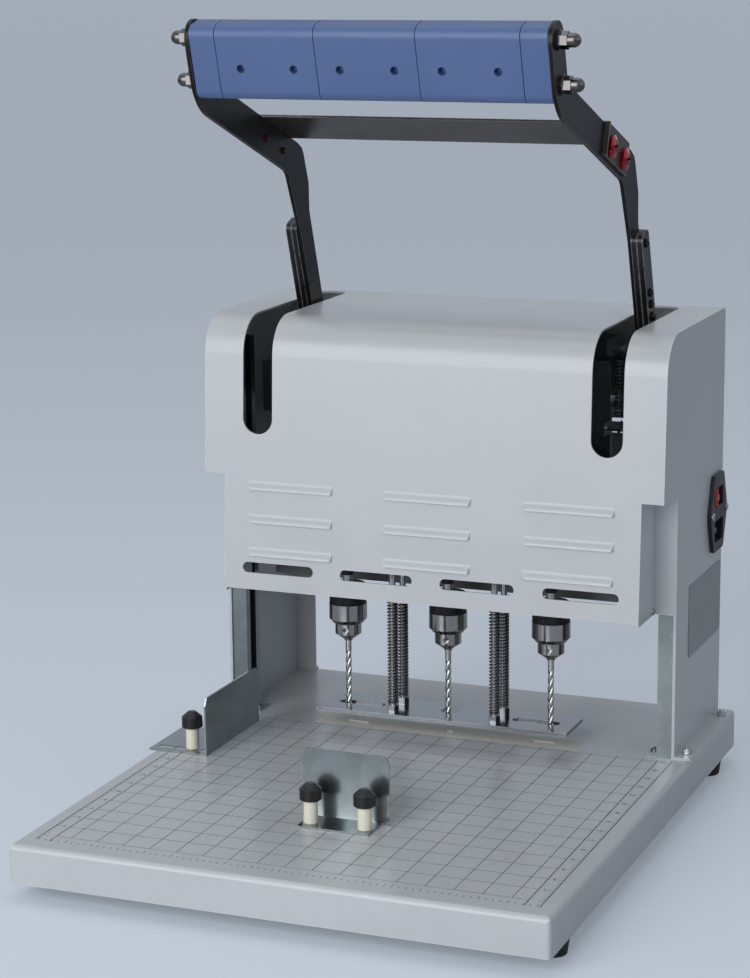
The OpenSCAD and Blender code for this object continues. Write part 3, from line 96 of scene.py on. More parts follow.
@dataclass(frozen=True)
class Machine:
    """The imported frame, seen in the machine's own directions and millimetres."""

    origin: Vector
    node_bodies: dict[str, str]
    nodes: dict[str, bpy.types.Object]

    @classmethod
    def load(cls) -> "Machine":
        """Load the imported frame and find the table's front edge and top.

        Returns:
            The machine, ready to be dressed.
        """
        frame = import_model()
        low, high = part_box("base_tray")
        origin = Vector(((low.x + high.x) / 2, low.y, high.z))
        bodies = frame["record"]["behaviour"]["bodies"]
        node_bodies = {node: body for body, nodes in bodies.items() for node in nodes}
        return cls(origin, node_bodies, frame["nodes"])

    def at(self, x: float, y: float, z: float) -> Vector:
        """Turn the machine's millimetres into a point of the frame, in metres.

        Args:
            x: Distance to the right of the middle.
            y: Distance behind the table's front edge.
            z: Height above the table's top.

        Returns:
            The point in the frame.
        """
        return self.origin + Vector((x, y, z)) * MM

    def box(self, node: str) -> tuple[Vector, Vector]:
        """Give a node's box in the machine's millimetres.

        Args:
            node: Name of the node.

        Returns:
            The lowest and the highest corner.
        """
        low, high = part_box(node)
        return (low - self.origin) / MM, (high - self.origin) / MM


# ---------------------------------------------------------------- finishes


class Texture(Enum):
    """What breaks up a finish close by."""

    PAINT = "paint"
    SPANGLE = "spangle"
    DRAWN = "drawn"
    MOULDED = "moulded"


def linear(colour: tuple[int, int, int], gain: float = 1.0) -> tuple[float, float, float, float]:
    """Turn a colour as it is seen on a screen into scene values.

    Args:
        colour: Red, green and blue from 0 to 255.
        gain: Factor on the result.

    Returns:
        Scene values with an opacity of 1.
    """
    def channel(value: int) -> float:
        """Turn one channel's value."""
        share = value / 255
        flat = share / 12.92 if share <= 0.04045 else ((share + 0.055) / 1.055) ** 2.4
        return min(1.0, flat * gain)

    return (*(channel(value) for value in colour), 1.0)


@dataclass
class Graph:
    """A node tree with short ways to add and join nodes."""

    tree: bpy.types.NodeTree

    def add(self, kind: str, **inputs: object) -> bpy.types.Node:
        """Add a node and set what is given.

        Args:
            kind: The node's type.
            **inputs: Socket values by name, with underscores for spaces, or the node's own settings.

        Returns:
            The new node.
        """
        node = self.tree.nodes.new(kind)
        for name, value in inputs.items():
            socket = node.inputs.get(name.replace("_", " "))
            if socket is None:
                setattr(node, name, value)
            elif isinstance(value, bpy.types.NodeSocket):
                self.tree.links.new(value, socket)
            else:
                socket.default_value = value
        return node

    def join(self, start: bpy.types.NodeSocket, end: bpy.types.NodeSocket) -> None:
        """Link one socket to another."""
        self.tree.links.new(start, end)

    def maths(self, operation: str, first: object, second: object = 0.0) -> bpy.types.NodeSocket:
        """Add a sum on two values.

        Args:
            operation: The Math node's operation.
            first: A socket or a number.
            second: A socket or a number.

        Returns:
            The result's socket.
        """
        node = self.tree.nodes.new("ShaderNodeMath")
        node.operation = operation
        for socket, value in zip(node.inputs, (first, second)):
            if isinstance(value, bpy.types.NodeSocket):
                self.tree.links.new(value, socket)
            else:
                socket.default_value = value
        return node.outputs[0]


def new_group(name: str, inputs: dict[str, str], outputs: dict[str, str]) -> tuple[Graph, object, object]:
    """Start a shader node group with named sockets.

    Args:
        name: The group's name.
        inputs: Socket types by name.
        outputs: Socket types by name.

    Returns:
        The group's graph, its input node and its output node.
    """
    tree = bpy.data.node_groups.new(name, "ShaderNodeTree")
    for socket, kind in inputs.items():
        tree.interface.new_socket(socket, in_out="INPUT", socket_type=kind)
    for socket, kind in outputs.items():
        tree.interface.new_socket(socket, in_out="OUTPUT", socket_type=kind)
    graph = Graph(tree)
    return graph, graph.add("NodeGroupInput"), graph.add("NodeGroupOutput")


FLOAT = "NodeSocketFloat"
VECTOR = "NodeSocketVector"


@dataclass
class Workshop:
    """The node groups that several finishes share, each built once."""

    groups: dict[str, bpy.types.NodeTree] = field(default_factory=dict)

    def build(self) -> None:
        """Build every shared group."""
        self.groups["grain"] = self.grain()
        self.groups["spangle"] = self.spangle()
        self.groups["drawn"] = self.drawn()
        self.groups["handling"] = self.handling()
        self.groups["worn_and_highlit_edges"] = self.worn_and_highlit_edges()

    def grain(self) -> bpy.types.NodeTree:
        """Fine bumps of a powder coat or of moulded plastic.

        Returns:
            The group, which puts out a height.
        """
        graph, start, end = new_group("fine_grain", {"Vector": VECTOR, "Scale": FLOAT}, {"Height": FLOAT})
        places, scale = start.outputs["Vector"], start.outputs["Scale"]
        fine = graph.add("ShaderNodeTexNoise", Vector=places, Scale=scale, Detail=2.0, Roughness=0.55)
        broad_scale = graph.maths("MULTIPLY", scale, 0.3)
        coarse = graph.add("ShaderNodeTexNoise", Vector=places, Scale=broad_scale, Detail=1.0)
        graph.join(graph.maths("ADD", fine.outputs["Fac"], coarse.outputs["Fac"]), end.inputs["Height"])
        return graph.tree

    def spangle(self) -> bpy.types.NodeTree:
        """Crystals of a zinc coat, each with its own shade.

        Returns:
            The group, which puts out a height from 0 to 1 that differs from crystal to crystal.
        """
        graph, start, end = new_group("zinc_spangle", {"Vector": VECTOR, "Scale": FLOAT}, {"Height": FLOAT})
        wobble = graph.add("ShaderNodeTexNoise", Vector=start.outputs["Vector"], Scale=160.0, Detail=3.0)
        bent = graph.add("ShaderNodeVectorMath", operation="MULTIPLY_ADD")
        graph.join(wobble.outputs["Color"], bent.inputs[0])
        bent.inputs[1].default_value = (0.004, 0.004, 0.004)
        graph.join(start.outputs["Vector"], bent.inputs[2])
        scale = start.outputs["Scale"]
        cells = graph.add("ShaderNodeTexVoronoi", feature="F1", Vector=bent.outputs[0], Scale=scale)
        crystal = graph.add("ShaderNodeSeparateColor", Color=cells.outputs["Color"])
        graph.join(crystal.outputs[0], end.inputs["Height"])
        return graph.tree

    def drawn(self) -> bpy.types.NodeTree:
        """Fine lines that drawing or turning leaves along a metal piece.

        Returns:
            The group, which puts out a height that hardly changes along the lines.
        """
        graph, start, end = new_group(
            "drawn_lines", {"Vector": VECTOR, "Scale": FLOAT, "Stretch": VECTOR}, {"Height": FLOAT}
        )
        scaled = graph.add("ShaderNodeVectorMath", operation="MULTIPLY")
        graph.join(start.outputs["Vector"], scaled.inputs[0])
        graph.join(start.outputs["Stretch"], scaled.inputs[1])
        scale = start.outputs["Scale"]
        lines = graph.add("ShaderNodeTexNoise", Vector=scaled.outputs[0], Scale=scale, Detail=3.0, Roughness=0.6)
        graph.join(lines.outputs["Fac"], end.inputs["Height"])
        return graph.tree

    def handling(self) -> bpy.types.NodeTree:
        """Broad cloudy changes that hands and cleaning leave on a surface.

        Returns:
            The group, which puts out a mask from 0 to 1.
        """
        graph, start, end = new_group("handling", {"Vector": VECTOR, "Scale": FLOAT}, {"Mask": FLOAT})
        cloud = graph.add(
            "ShaderNodeTexNoise", Vector=start.outputs["Vector"], Scale=start.outputs["Scale"], Detail=4.0,
            Roughness=0.6, Distortion=0.4,
        )
        spread = graph.add("ShaderNodeMapRange", Value=cloud.outputs["Fac"], From_Min=0.3, From_Max=0.7)
        graph.join(spread.outputs["Result"], end.inputs["Mask"])
        return graph.tree

    def worn_and_highlit_edges(self) -> bpy.types.NodeTree:
        """Edges where a coat is worn or thinner, and painted highlight where sharp edges catch the light.

        Returns:
            The group, which puts out a mask that is 1 along sharp edges.
        """
        graph, start, end = new_group("worn_and_highlit_edges", {"Vector": VECTOR, "Width": FLOAT}, {"Mask": FLOAT})
        rounded = graph.add("ShaderNodeBevel", samples=4, Radius=start.outputs["Width"])
        surface = graph.add("ShaderNodeNewGeometry")
        turned = graph.add("ShaderNodeVectorMath", operation="DOT_PRODUCT")
        graph.join(rounded.outputs["Normal"], turned.inputs[0])
        graph.join(surface.outputs["Normal"], turned.inputs[1])
        edge = graph.add("ShaderNodeMapRange", Value=turned.outputs["Value"], From_Min=0.97, From_Max=0.8)
        patches = graph.add("ShaderNodeTexNoise", Vector=start.outputs["Vector"], Scale=240.0, Detail=3.0)
        chance = graph.add("ShaderNodeMapRange", Value=patches.outputs["Fac"], From_Min=0.25, From_Max=0.5)
        mask = graph.maths("MULTIPLY", edge.outputs["Result"], chance.outputs["Result"])
        graph.join(mask, end.inputs["Mask"])
        return graph.tree


@dataclass(frozen=True)
class Finish:
    """One surface finish, with the record's material slot that it belongs to."""

    slot: str
    colour: tuple[int, int, int]
    texture: Texture
    roughness: float
    metallic: float = 0.0
    coat: float = 0.0
    coat_roughness: float = 0.1
    specular: float = 0.5
    scale: float = 900.0
    stretch: tuple[float, float, float] = (1.0, 1.0, 0.03)
    shade: float = 0.04
    cloud: float = 0.05
    cloud_scale: float = 14.0
    bump: float = 0.06
    depth: float = 0.0002
    # Edge colour: partly real wear, partly painted highlight where sharp edges catch the light.
    wear_and_highlight: float = 0.0
    wear_and_highlight_colour: tuple[int, int, int] = (150, 150, 150)
    wear_and_highlight_width: float = 0.0009

    def build(self, name: str, workshop: Workshop) -> bpy.types.Material:
        """Build the finish as a material.

        Args:
            name: The material's name.
            workshop: The shared node groups.

        Returns:
            The material.
        """
        material = bpy.data.materials.new(name)
        material.use_nodes = True
        graph = Graph(material.node_tree)
        shader = material.node_tree.nodes["Principled BSDF"]
        places = graph.add("ShaderNodeTexCoord").outputs["Object"]
        height = self._height(graph, workshop, places)
        handled = graph.add(
            "ShaderNodeGroup", node_tree=workshop.groups["handling"], Vector=places, Scale=self.cloud_scale
        )
        cloud = handled.outputs["Mask"]
        level = graph.add("ShaderNodeMapRange", Value=height, To_Min=1 - self.shade, To_Max=1 + self.shade)
        broad = graph.add("ShaderNodeMapRange", Value=cloud, To_Min=1 - self.cloud, To_Max=1 + self.cloud)
        gain = graph.maths("MULTIPLY", level.outputs["Result"], broad.outputs["Result"])
        tint = graph.add("ShaderNodeVectorMath", operation="SCALE", Vector=linear(self.colour)[:3], Scale=gain)
        colour = tint.outputs[0]
        # Mix in the edge colour: real wear and painted highlight along sharp edges.
        if self.wear_and_highlight:
            colour = self._wear_and_highlight_edges(graph, workshop, places, colour)
        graph.join(colour, shader.inputs["Base Color"])
        least, most = self.roughness * 0.82, min(1.0, self.roughness * 1.2)
        dull = graph.add("ShaderNodeMapRange", Value=cloud, To_Min=least, To_Max=most)
        graph.join(dull.outputs["Result"], shader.inputs["Roughness"])
        relief = graph.add("ShaderNodeBump", Height=height, Strength=self.bump, Distance=self.depth)
        graph.join(relief.outputs["Normal"], shader.inputs["Normal"])
        shader.inputs["Metallic"].default_value = self.metallic
        shader.inputs["Specular IOR Level"].default_value = self.specular
        shader.inputs["Coat Weight"].default_value = self.coat
        shader.inputs["Coat Roughness"].default_value = self.coat_roughness
        return material

    def _height(self, graph: Graph, workshop: Workshop, places: bpy.types.NodeSocket) -> bpy.types.NodeSocket:
        """Add the fine texture.

        Args:
            graph: The material's graph.
            workshop: The shared node groups.
            places: Object coordinates.

        Returns:
            The texture's height.
        """
        group = {Texture.SPANGLE: "spangle", Texture.DRAWN: "drawn"}.get(self.texture, "grain")
        fine = graph.add("ShaderNodeGroup", node_tree=workshop.groups[group], Vector=places, Scale=self.scale)
        if self.texture is Texture.DRAWN:
            fine.inputs["Stretch"].default_value = self.stretch
        return fine.outputs["Height"]

    def _wear_and_highlight_edges(
        self, graph: Graph, workshop: Workshop, places: bpy.types.NodeSocket, colour: bpy.types.NodeSocket
    ) -> bpy.types.NodeSocket:
        """Let the edges shift towards another colour, for real wear and for painted highlight where they catch the
        light.

        Args:
            graph: The material's graph.
            workshop: The shared node groups.
            places: Object coordinates.
            colour: The colour away from the edges.

        Returns:
            The mixed colour.
        """
        edges = graph.add(
            "ShaderNodeGroup", node_tree=workshop.groups["worn_and_highlit_edges"], Vector=places, Width=self.wear_and_highlight_width
        )
        share = graph.maths("MULTIPLY", edges.outputs["Mask"], self.wear_and_highlight)
        mix = graph.add("ShaderNodeMix", data_type="RGBA", Factor=share)
        graph.join(colour, mix.inputs["A"])
        mix.inputs[7].default_value = linear(self.wear_and_highlight_colour)
        return mix.outputs[2]


# Where a finish sets an edge colour, it is partly real wear and partly painted highlight along edges that catch the
# light.
FINISHES = {
    # Near-white edge colour: painted highlight where the sheet's edges catch the light, with some real wear.
    "grey_powder_coat": Finish(
        "paint", (190, 194, 197), Texture.PAINT, 0.34, coat=0.25, coat_roughness=0.2, shade=0.015, cloud=0.03,
        bump=0.05, wear_and_highlight=0.6, wear_and_highlight_colour=(232, 234, 236),
    ),
    "zinc_sheet": Finish(
        "zinc", (134, 142, 143), Texture.SPANGLE, 0.2, metallic=0.9, scale=130.0, shade=0.08, cloud=0.08,
        bump=0.03, wear_and_highlight=0.5, wear_and_highlight_colour=(205, 210, 210),
    ),
    "zinc_screw": Finish(
        "zinc", (190, 192, 192), Texture.DRAWN, 0.26, metallic=1.0, scale=700.0, shade=0.1, cloud=0.1, bump=0.04
    ),
    # Light edge colour: painted highlight round the plate's slots and edges, with some real wear.
    "pressed_plate": Finish(
        "zinc", (138, 140, 144), Texture.DRAWN, 0.17, metallic=1.0, scale=500.0, stretch=(0.05, 1.0, 1.0),
        shade=0.1, cloud=0.1, bump=0.04, wear_and_highlight=0.6, wear_and_highlight_colour=(225, 226, 228),
    ),
    "turned_steel": Finish(
        "steel", (186, 188, 190), Texture.DRAWN, 0.24, metallic=1.0, scale=900.0, shade=0.1, cloud=0.08, bump=0.04
    ),
    "spring_wire": Finish(
        "steel", (112, 111, 110), Texture.DRAWN, 0.24, metallic=1.0, scale=1200.0, stretch=(1.0, 1.0, 1.0),
        shade=0.2, cloud=0.15, bump=0.03,
    ),
    "polished_chuck": Finish(
        "chrome", (162, 161, 159), Texture.DRAWN, 0.15, metallic=1.0, scale=1400.0, stretch=(0.1, 0.1, 1.0),
        shade=0.1, cloud=0.1, bump=0.03,
    ),
    "ground_bit": Finish(
        "chrome", (202, 200, 196), Texture.DRAWN, 0.17, metallic=1.0, scale=1600.0, shade=0.12, cloud=0.1, bump=0.03
    ),
    "black_lacquer": Finish(
        "black_steel", (13, 13, 14), Texture.PAINT, 0.36, coat=0.08, coat_roughness=0.16, specular=0.2, scale=700.0,
        shade=0.1, cloud=0.15, bump=0.05, wear_and_highlight=0.5, wear_and_highlight_colour=(128, 124, 120),
    ),
    # Bright edge colour: painted glints on the bars' rounded edges, with some real wear.
    "edged_bar": Finish(
        "black_steel", (20, 20, 21), Texture.DRAWN, 0.3, metallic=0.3, scale=500.0, stretch=(1.0, 0.1, 0.1), shade=0.2,
        cloud=0.2, bump=0.05, wear_and_highlight=1.0, wear_and_highlight_colour=(190, 190, 184),
    ),
    "black_nickel": Finish(
        "steel", (104, 101, 101), Texture.DRAWN, 0.15, metallic=1.0, scale=700.0, shade=0.1, cloud=0.1, bump=0.03
    ),
    "blackened_screw": Finish(
        "black_steel", (40, 40, 42), Texture.DRAWN, 0.3, metallic=0.8, scale=900.0, shade=0.15, cloud=0.2, bump=0.04
    ),
    # Colour lightened as painted light, for light that reaches these parts inside the housing.
    "primer_with_painted_interior_light": Finish(
        "dark_steel", (104, 105, 106), Texture.PAINT, 0.5, scale=600.0, shade=0.06, cloud=0.1, bump=0.06
    ),
    "bronzed_strip": Finish(
        "brown_steel", (64, 58, 56), Texture.DRAWN, 0.34, metallic=0.35, scale=420.0, stretch=(0.04, 1.0, 1.0),
        shade=0.16, cloud=0.12, bump=0.05, wear_and_highlight=0.8, wear_and_highlight_colour=(196, 192, 186),
    ),
    "blue_grip": Finish(
        "blue_plastic", (78, 100, 146), Texture.MOULDED, 0.42, scale=1500.0, shade=0.04, cloud=0.04, bump=0.12
    ),
    "black_moulding": Finish(
        "black_plastic", (24, 24, 26), Texture.MOULDED, 0.42, scale=1400.0, shade=0.08, cloud=0.1, bump=0.1
    ),
    "cream_moulding": Finish(
        "cream_plastic", (232, 228, 212), Texture.MOULDED, 0.4, scale=1200.0, shade=0.02, cloud=0.03, bump=0.05
    ),
    "white_nylon": Finish(
        "white_pad", (226, 226, 220), Texture.MOULDED, 0.5, scale=1000.0, shade=0.03, cloud=0.06, bump=0.06
    ),
    "foot_rubber": Finish(
        "rubber", (30, 30, 32), Texture.MOULDED, 0.75, scale=900.0, shade=0.1, cloud=0.12, bump=0.15
    ),
    "red_rocker": Finish(
        "red_plastic", (196, 18, 20), Texture.MOULDED, 0.22, coat=0.4, scale=800.0, shade=0.02, cloud=0.03, bump=0.02
    ),
    "red_screw": Finish(
        "red_steel", (168, 14, 30), Texture.DRAWN, 0.14, metallic=0.85, coat=0.5, scale=600.0, shade=0.12, cloud=0.1,
        bump=0.04,
    ),
    "plain_plate": Finish(
        "plate", (150, 150, 152), Texture.DRAWN, 0.42, scale=500.0, stretch=(1.0, 0.05, 1.0),
        shade=0.05, cloud=0.05, bump=0.03,
    ),
    "circuit_board": Finish(
        "circuit", (26, 84, 54), Texture.MOULDED, 0.3, coat=0.3, scale=400.0, shade=0.08, cloud=0.15, bump=0.04
    ),
    "printed_ink": Finish(
        "black_plastic", (50, 54, 58), Texture.MOULDED, 0.5, scale=900.0, shade=0.06, cloud=0.1, bump=0.01
    ),
}


# ---------------------------------------------------------------- shapes


class Shape:
    """A mesh under construction, in the machine's millimetres."""

    def __init__(self, dresser: Dresser) -> None:
        """Start an empty shape.

        Args:
            dresser: Knows the machine and its materials.
        """
        self.dresser = dresser
        self.mesh = bmesh.new()

    def block(self, low: tuple[float, ...], high: tuple[float, ...], round_by: float = 0.0) -> list:
        """Add a box between two corners.

        Args:
            low: The lowest corner.
            high: The highest corner.
            round_by: Width of its rounded edges.

        Returns:
            The box's vertices before its edges are rounded.
        """
        low_v, high_v = Vector(low), Vector(high)
        place = Matrix.Translation((low_v + high_v) / 2) @ Matrix.Diagonal((*(high_v - low_v), 1.0))
        verts = bmesh.ops.create_cube(self.mesh, size=1.0, matrix=place)["verts"]
        if round_by:
            edges = list({edge for vert in verts for edge in vert.link_edges})
            bmesh.ops.bevel(
                self.mesh, geom=edges, offset=round_by, segments=3, affect="EDGES", profile=0.5, material=-1
            )
        return verts

    def rod(
        self, start: Vector, end: Vector, radius: float, end_radius: float | None = None, sides: int = 32
    ) -> list:
        """Add a round rod or cone between two points.

        Args:
            start: Middle of one end.
            end: Middle of the other end.
            radius: Radius at the start.
            end_radius: Radius at the end, the same where it isn't given.
            sides: Number of sides.

        Returns:
            The rod's vertices.
        """
        along = Vector(end) - Vector(start)
        turn = along.to_track_quat("Z", "Y").to_matrix().to_4x4()
        place = Matrix.Translation(Vector(start) + along / 2) @ turn
        return bmesh.ops.create_cone(
            self.mesh, cap_ends=True, segments=sides, radius1=radius,
            radius2=radius if end_radius is None else end_radius, depth=along.length, matrix=place,
        )["verts"]

    def lathe(self, profile: list[tuple[float, float]], centre: tuple[float, float], sides: int = 64) -> None:
        """Turn an outline round an upright axis.

        Args:
            profile: Radius and height of each corner, from the axis to the axis.
            centre: The axis's place.
            sides: Number of steps in a full turn.
        """
        verts = [self.mesh.verts.new((centre[0] + r, centre[1], z)) for r, z in profile]
        edges = [self.mesh.edges.new(pair) for pair in zip(verts, verts[1:])]
        bmesh.ops.spin(
            self.mesh, geom=verts + edges, cent=(*centre, 0.0), axis=(0, 0, 1), angle=math.tau, steps=sides,
            use_merge=True, use_duplicate=False, dvec=(0, 0, 0),
        )
        bmesh.ops.remove_doubles(self.mesh, verts=self.mesh.verts, dist=1e-5)
        bmesh.ops.recalc_face_normals(self.mesh, faces=self.mesh.faces)

    def turn(self, verts: list, angle: float, centre: tuple[float, float, float], axis: str = "Z") -> None:
        """Turn part of the shape.

        Args:
            verts: The vertices to turn.
            angle: Angle in degrees.
            centre: A point on the axis.
            axis: The axis's direction.
        """
        bmesh.ops.rotate(
            self.mesh, verts=verts, cent=centre, matrix=Matrix.Rotation(math.radians(angle), 3, axis)
        )

    def finish(
        self, name: str, finish: str, body: str, smooth: float = 35.0, bevel: float = 0.0
    ) -> bpy.types.Object:
        """Make the shape a piece of the machine.

        Args:
            name: The piece's name.
            finish: Name of its finish.
            body: The body that it rides on, or an empty name to leave it unattached.
            smooth: Largest angle between faces that are shaded as one, in degrees.
            bevel: Width of a softened edge.

        Returns:
            The piece.
        """
        place = Matrix.Translation(self.dresser.machine.origin) @ Matrix.Scale(MM, 4)
        bmesh.ops.transform(self.mesh, matrix=place, verts=self.mesh.verts)
        shade(self.mesh, smooth)
        piece = self.dresser.piece(name, self.mesh, finish, bevel)
        if body:
            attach(piece, body)
        return piece


def shade(mesh: bmesh.types.BMesh, angle: float) -> None:
    """Shade faces smoothly, apart from edges sharper than an angle.

    Args:
        mesh: The mesh.
        angle: The angle in degrees.
    """
    limit = math.radians(angle)
    for face in mesh.faces:
        face.smooth = True
    for edge in mesh.edges:
        edge.smooth = edge.is_manifold and edge.calc_face_angle(0.0) < limit


def soften(piece: bpy.types.Object, width: float, segments: int = 2) -> None:
    """Round a piece's sharp edges with a modifier.

    Args:
        piece: The piece.
        width: Width in metres.
        segments: Steps across the rounding.
    """
    modifier = piece.modifiers.new("soft_edges", "BEVEL")
    modifier.width = width
    modifier.segments = segments
    modifier.limit_method = "ANGLE"
    modifier.angle_limit = math.radians(38)
    modifier.harden_normals = True
    modifier.miter_outer = "MITER_ARC"


@dataclass
class Dresser:
    """Gives the solids their finishes, on copies with softened edges where an edge width is given, else on the solids
    themselves.
    """

    machine: Machine
    materials: dict[str, bpy.types.Material]

    def piece(self, name: str, mesh: bmesh.types.BMesh, finish: str, edge: float = 0.0) -> bpy.types.Object:
        """Make a finished mesh an object of the scene.

        Args:
            name: The object's name.
            mesh: Its mesh, which is used up.
            finish: Name of its finish.
            edge: Width of its softened edges in millimetres, or 0.

        Returns:
            The object.
        """
        data = bpy.data.meshes.new(name)
        mesh.to_mesh(data)
        mesh.free()
        data.materials.append(self.materials[finish])
        piece = bpy.data.objects.new(name, data)
        bpy.context.scene.collection.objects.link(piece)
        if edge:
            soften(piece, edge * MM)
        LOG.info("%s: %d faces, %s", name, len(data.polygons), finish)
        return piece

    def dress(self, node: str, finish: str, edge: float = 0.0) -> bpy.types.Object:
        """Dress one solid.

        Args:
            node: The solid's name.
            finish: Name of its finish.
            edge: Width of its softened edges in millimetres, or 0 for the solid as it is.

        Returns:
            The dressed object.
        """
        source = self.machine.nodes[node]
        if not edge:
            source.data.materials.clear()
            source.data.materials.append(self.materials[finish])
            return source
        mesh = bmesh.new()
        mesh.from_mesh(source.data)
        bmesh.ops.remove_doubles(mesh, verts=mesh.verts, dist=2e-6)
        bmesh.ops.join_triangles(
            mesh, faces=mesh.faces, angle_face_threshold=math.radians(0.4), angle_shape_threshold=math.pi
        )
        shade(mesh, 32.0)
        piece = self.piece(f"{node}_dressed", mesh, finish, edge)
        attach(piece, self.machine.node_bodies[node])
        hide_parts(node)
        return piece


# ---------------------------------------------------------------- sub-assemblies


@dataclass
class Table:
    """The tray, its feet, the cutting pad and the printed scale."""

    machine: Machine
    dresser: Dresser
    outer_x: float = 182.0
    inner_x: float = 171.3
    grid: float = 20.0
    tick: float = 5.0
    front_y: float = 16.0
    grid_front_y: float = 26.0
    back_y: float = 330.0
    line: float = 0.45
    lift: float = 0.06
    digit_height: float = 4.4
    digit_shift: float = 1.2
    long_tick: float = 4.5
    front_tick: float = 3.0
    side_tick: float = 2.5

    def build(self) -> None:
        """Dress the tray and print its scale."""
        self.dresser.dress("base_tray", "grey_powder_coat")
        self.dresser.dress("rubber_feet", "foot_rubber", 0.8)
        self.dresser.dress("foot_screws", "zinc_screw", 0.2)
        self.dresser.dress("pad_tray", "zinc_sheet")
        self.dresser.dress("cutting_pad", "white_nylon", 0.4)
        self.printed_lines()
        self.printed_digits()

    def printed_lines(self) -> None:
        """Print the ruled lines and the ruler's ticks."""
        shape = Shape(self.dresser)
        for x in (-self.outer_x, -self.inner_x, self.inner_x, self.outer_x):
            self._line(shape, (x, self.front_y), (x, self.back_y), self.line * 1.5)
        columns = int(self.inner_x // self.grid)
        for column in range(-columns, columns + 1):
            x = column * self.grid
            self._line(shape, (x, self.grid_front_y), (x, self.back_y), self.line)
        rows = int((self.back_y - self.grid_front_y) // self.grid)
        for row in range(rows + 1):
            y = self.grid_front_y + row * self.grid
            self._line(shape, (-self.inner_x, y), (self.inner_x, y), self.line * 0.8)
        ticks = int(self.outer_x // self.tick)
        square = round(self.grid / self.tick)
        for number in range(-ticks, ticks + 1):
            length = self.front_tick if number % square else self.long_tick
            x = number * self.tick
            self._line(shape, (x, self.front_y), (x, self.front_y + length), self.line)
        for number in range(int((self.back_y - self.grid_front_y) // self.tick) + 1):
            y = self.grid_front_y + number * self.tick
            length = self.side_tick if number % square else self.long_tick
            for side in (-1, 1):
                end = (side * (self.outer_x - length), y)
                self._line(shape, (side * self.outer_x, y), end, self.line * 0.8)
        shape.finish("printed_scale", "printed_ink", "frame")

    def _line(self, shape: Shape, start: tuple[float, float], end: tuple[float, float], width: float) -> None:
        """Lay one printed line on the table.

        Args:
            shape: The shape that it joins.
            start: One end.
            end: The other end.
            width: The line's width.
        """
        along = Vector(end) - Vector(start)
        middle = (Vector(start) + Vector(end)) / 2
        place = (
            Matrix.Translation((*middle, self.lift))
            @ Matrix.Rotation(math.atan2(along.y, along.x), 4, "Z")
            @ Matrix.Diagonal((along.length, width, 1.0, 1.0))
        )
        bmesh.ops.create_grid(shape.mesh, x_segments=1, y_segments=1, size=0.5, matrix=place)

    def printed_digits(self) -> None:
        """Number the side rulers in centimetres."""
        shape = Shape(self.dresser)
        rows = int((self.back_y - self.grid_front_y) // self.grid)
        x = (self.outer_x + self.inner_x) / 2 - self.digit_shift
        for row in range(1, rows + 1):
            y = self.grid_front_y + row * self.grid
            for side in (-1, 1):
                self._digits(shape, str(row * 2), Matrix.Translation((side * x, y, self.lift)))
        shape.finish("printed_digits", "printed_ink", "frame")

    def _digits(self, shape: Shape, words: str, place: Matrix) -> None:
        """Add plain digits to a shape.

        Args:
            shape: The shape.
            words: The digits.
            place: Where they lie, in millimetres.
        """
        curve = bpy.data.curves.new("digits", "FONT")
        curve.body = words
        curve.size = self.digit_height
        curve.align_x = "CENTER"
        curve.align_y = "CENTER"
        holder = bpy.data.objects.new("digits", curve)
        bpy.context.scene.collection.objects.link(holder)
        flat = holder.evaluated_get(bpy.context.evaluated_depsgraph_get()).to_mesh()
        flat.transform(place)
        shape.mesh.from_mesh(flat)
        bpy.data.objects.remove(holder)
        bpy.data.curves.remove(curve)


@dataclass
class Housing:
    """The folded housing with its louvres, columns, channels and mains inlet."""

    machine: Machine
    dresser: Dresser

    def build(self) -> None:
        """Dress the housing and add the switch's mark and the inlet's pins."""
        for node in ("left_side_plate", "right_side_plate", "front_cover", "rear_cover"):
            self.dresser.dress(node, "grey_powder_coat")
        for node in ("left_channel", "right_channel"):
            self.dresser.dress(node, "zinc_sheet", 0.25)
        self.dresser.dress("column_bolts", "zinc_screw", 0.3)
        self.dresser.dress("housing_screws", "zinc_screw", 0.15)
        self.dresser.dress("rear_crossmember", "primer_with_painted_interior_light", 0.3)
        self.dresser.dress("pivot_blocks", "primer_with_painted_interior_light", 0.4)
        self.dresser.dress("power_supply", "circuit_board", 0.3)
        self.dresser.dress("rating_plate", "plain_plate")
        self.dresser.dress("power_inlet", "black_moulding", 0.4)
        self.dresser.dress("rocker_switch", "red_rocker", 0.5)
        self.switch_marks()
        self.inlet_pins()

    def switch_marks(self) -> None:
        """Put a plain bar mark on the rocker."""
        low, high = self.machine.box("rocker_switch")
        middle_z = (low.z + high.z) / 2
        middle_y = (low.y + high.y) / 2
        shape = Shape(self.dresser)
        shape.block((high.x - 1.0, middle_y - 6.4, middle_z - 2.2), (high.x - 0.35, middle_y - 5.6, middle_z + 2.2))
        shape.finish("rocker_mark", "cream_moulding", "power_rocker")

    def inlet_pins(self) -> None:
        """Cap the inlet's three flat pins in bright metal."""
        low, high = self.machine.box("power_inlet")
        middle_y = (low.y + high.y) / 2
        socket_z = (low.z + high.z) / 2 - 14.0
        half_w = 1.1
        shape = Shape(self.dresser)
        for shift, low_z, high_z in ((-7.0, -4.6, -0.4), (0.0, 0.4, 4.6), (7.0, -4.6, -0.4)):
            y = middle_y + shift
            shape.block(
                (high.x - 16.0, y - half_w, socket_z + low_z), (high.x - 3.9, y + half_w, socket_z + high_z), 0.3
            )
        shape.finish("inlet_pin_caps", "turned_steel", "frame")


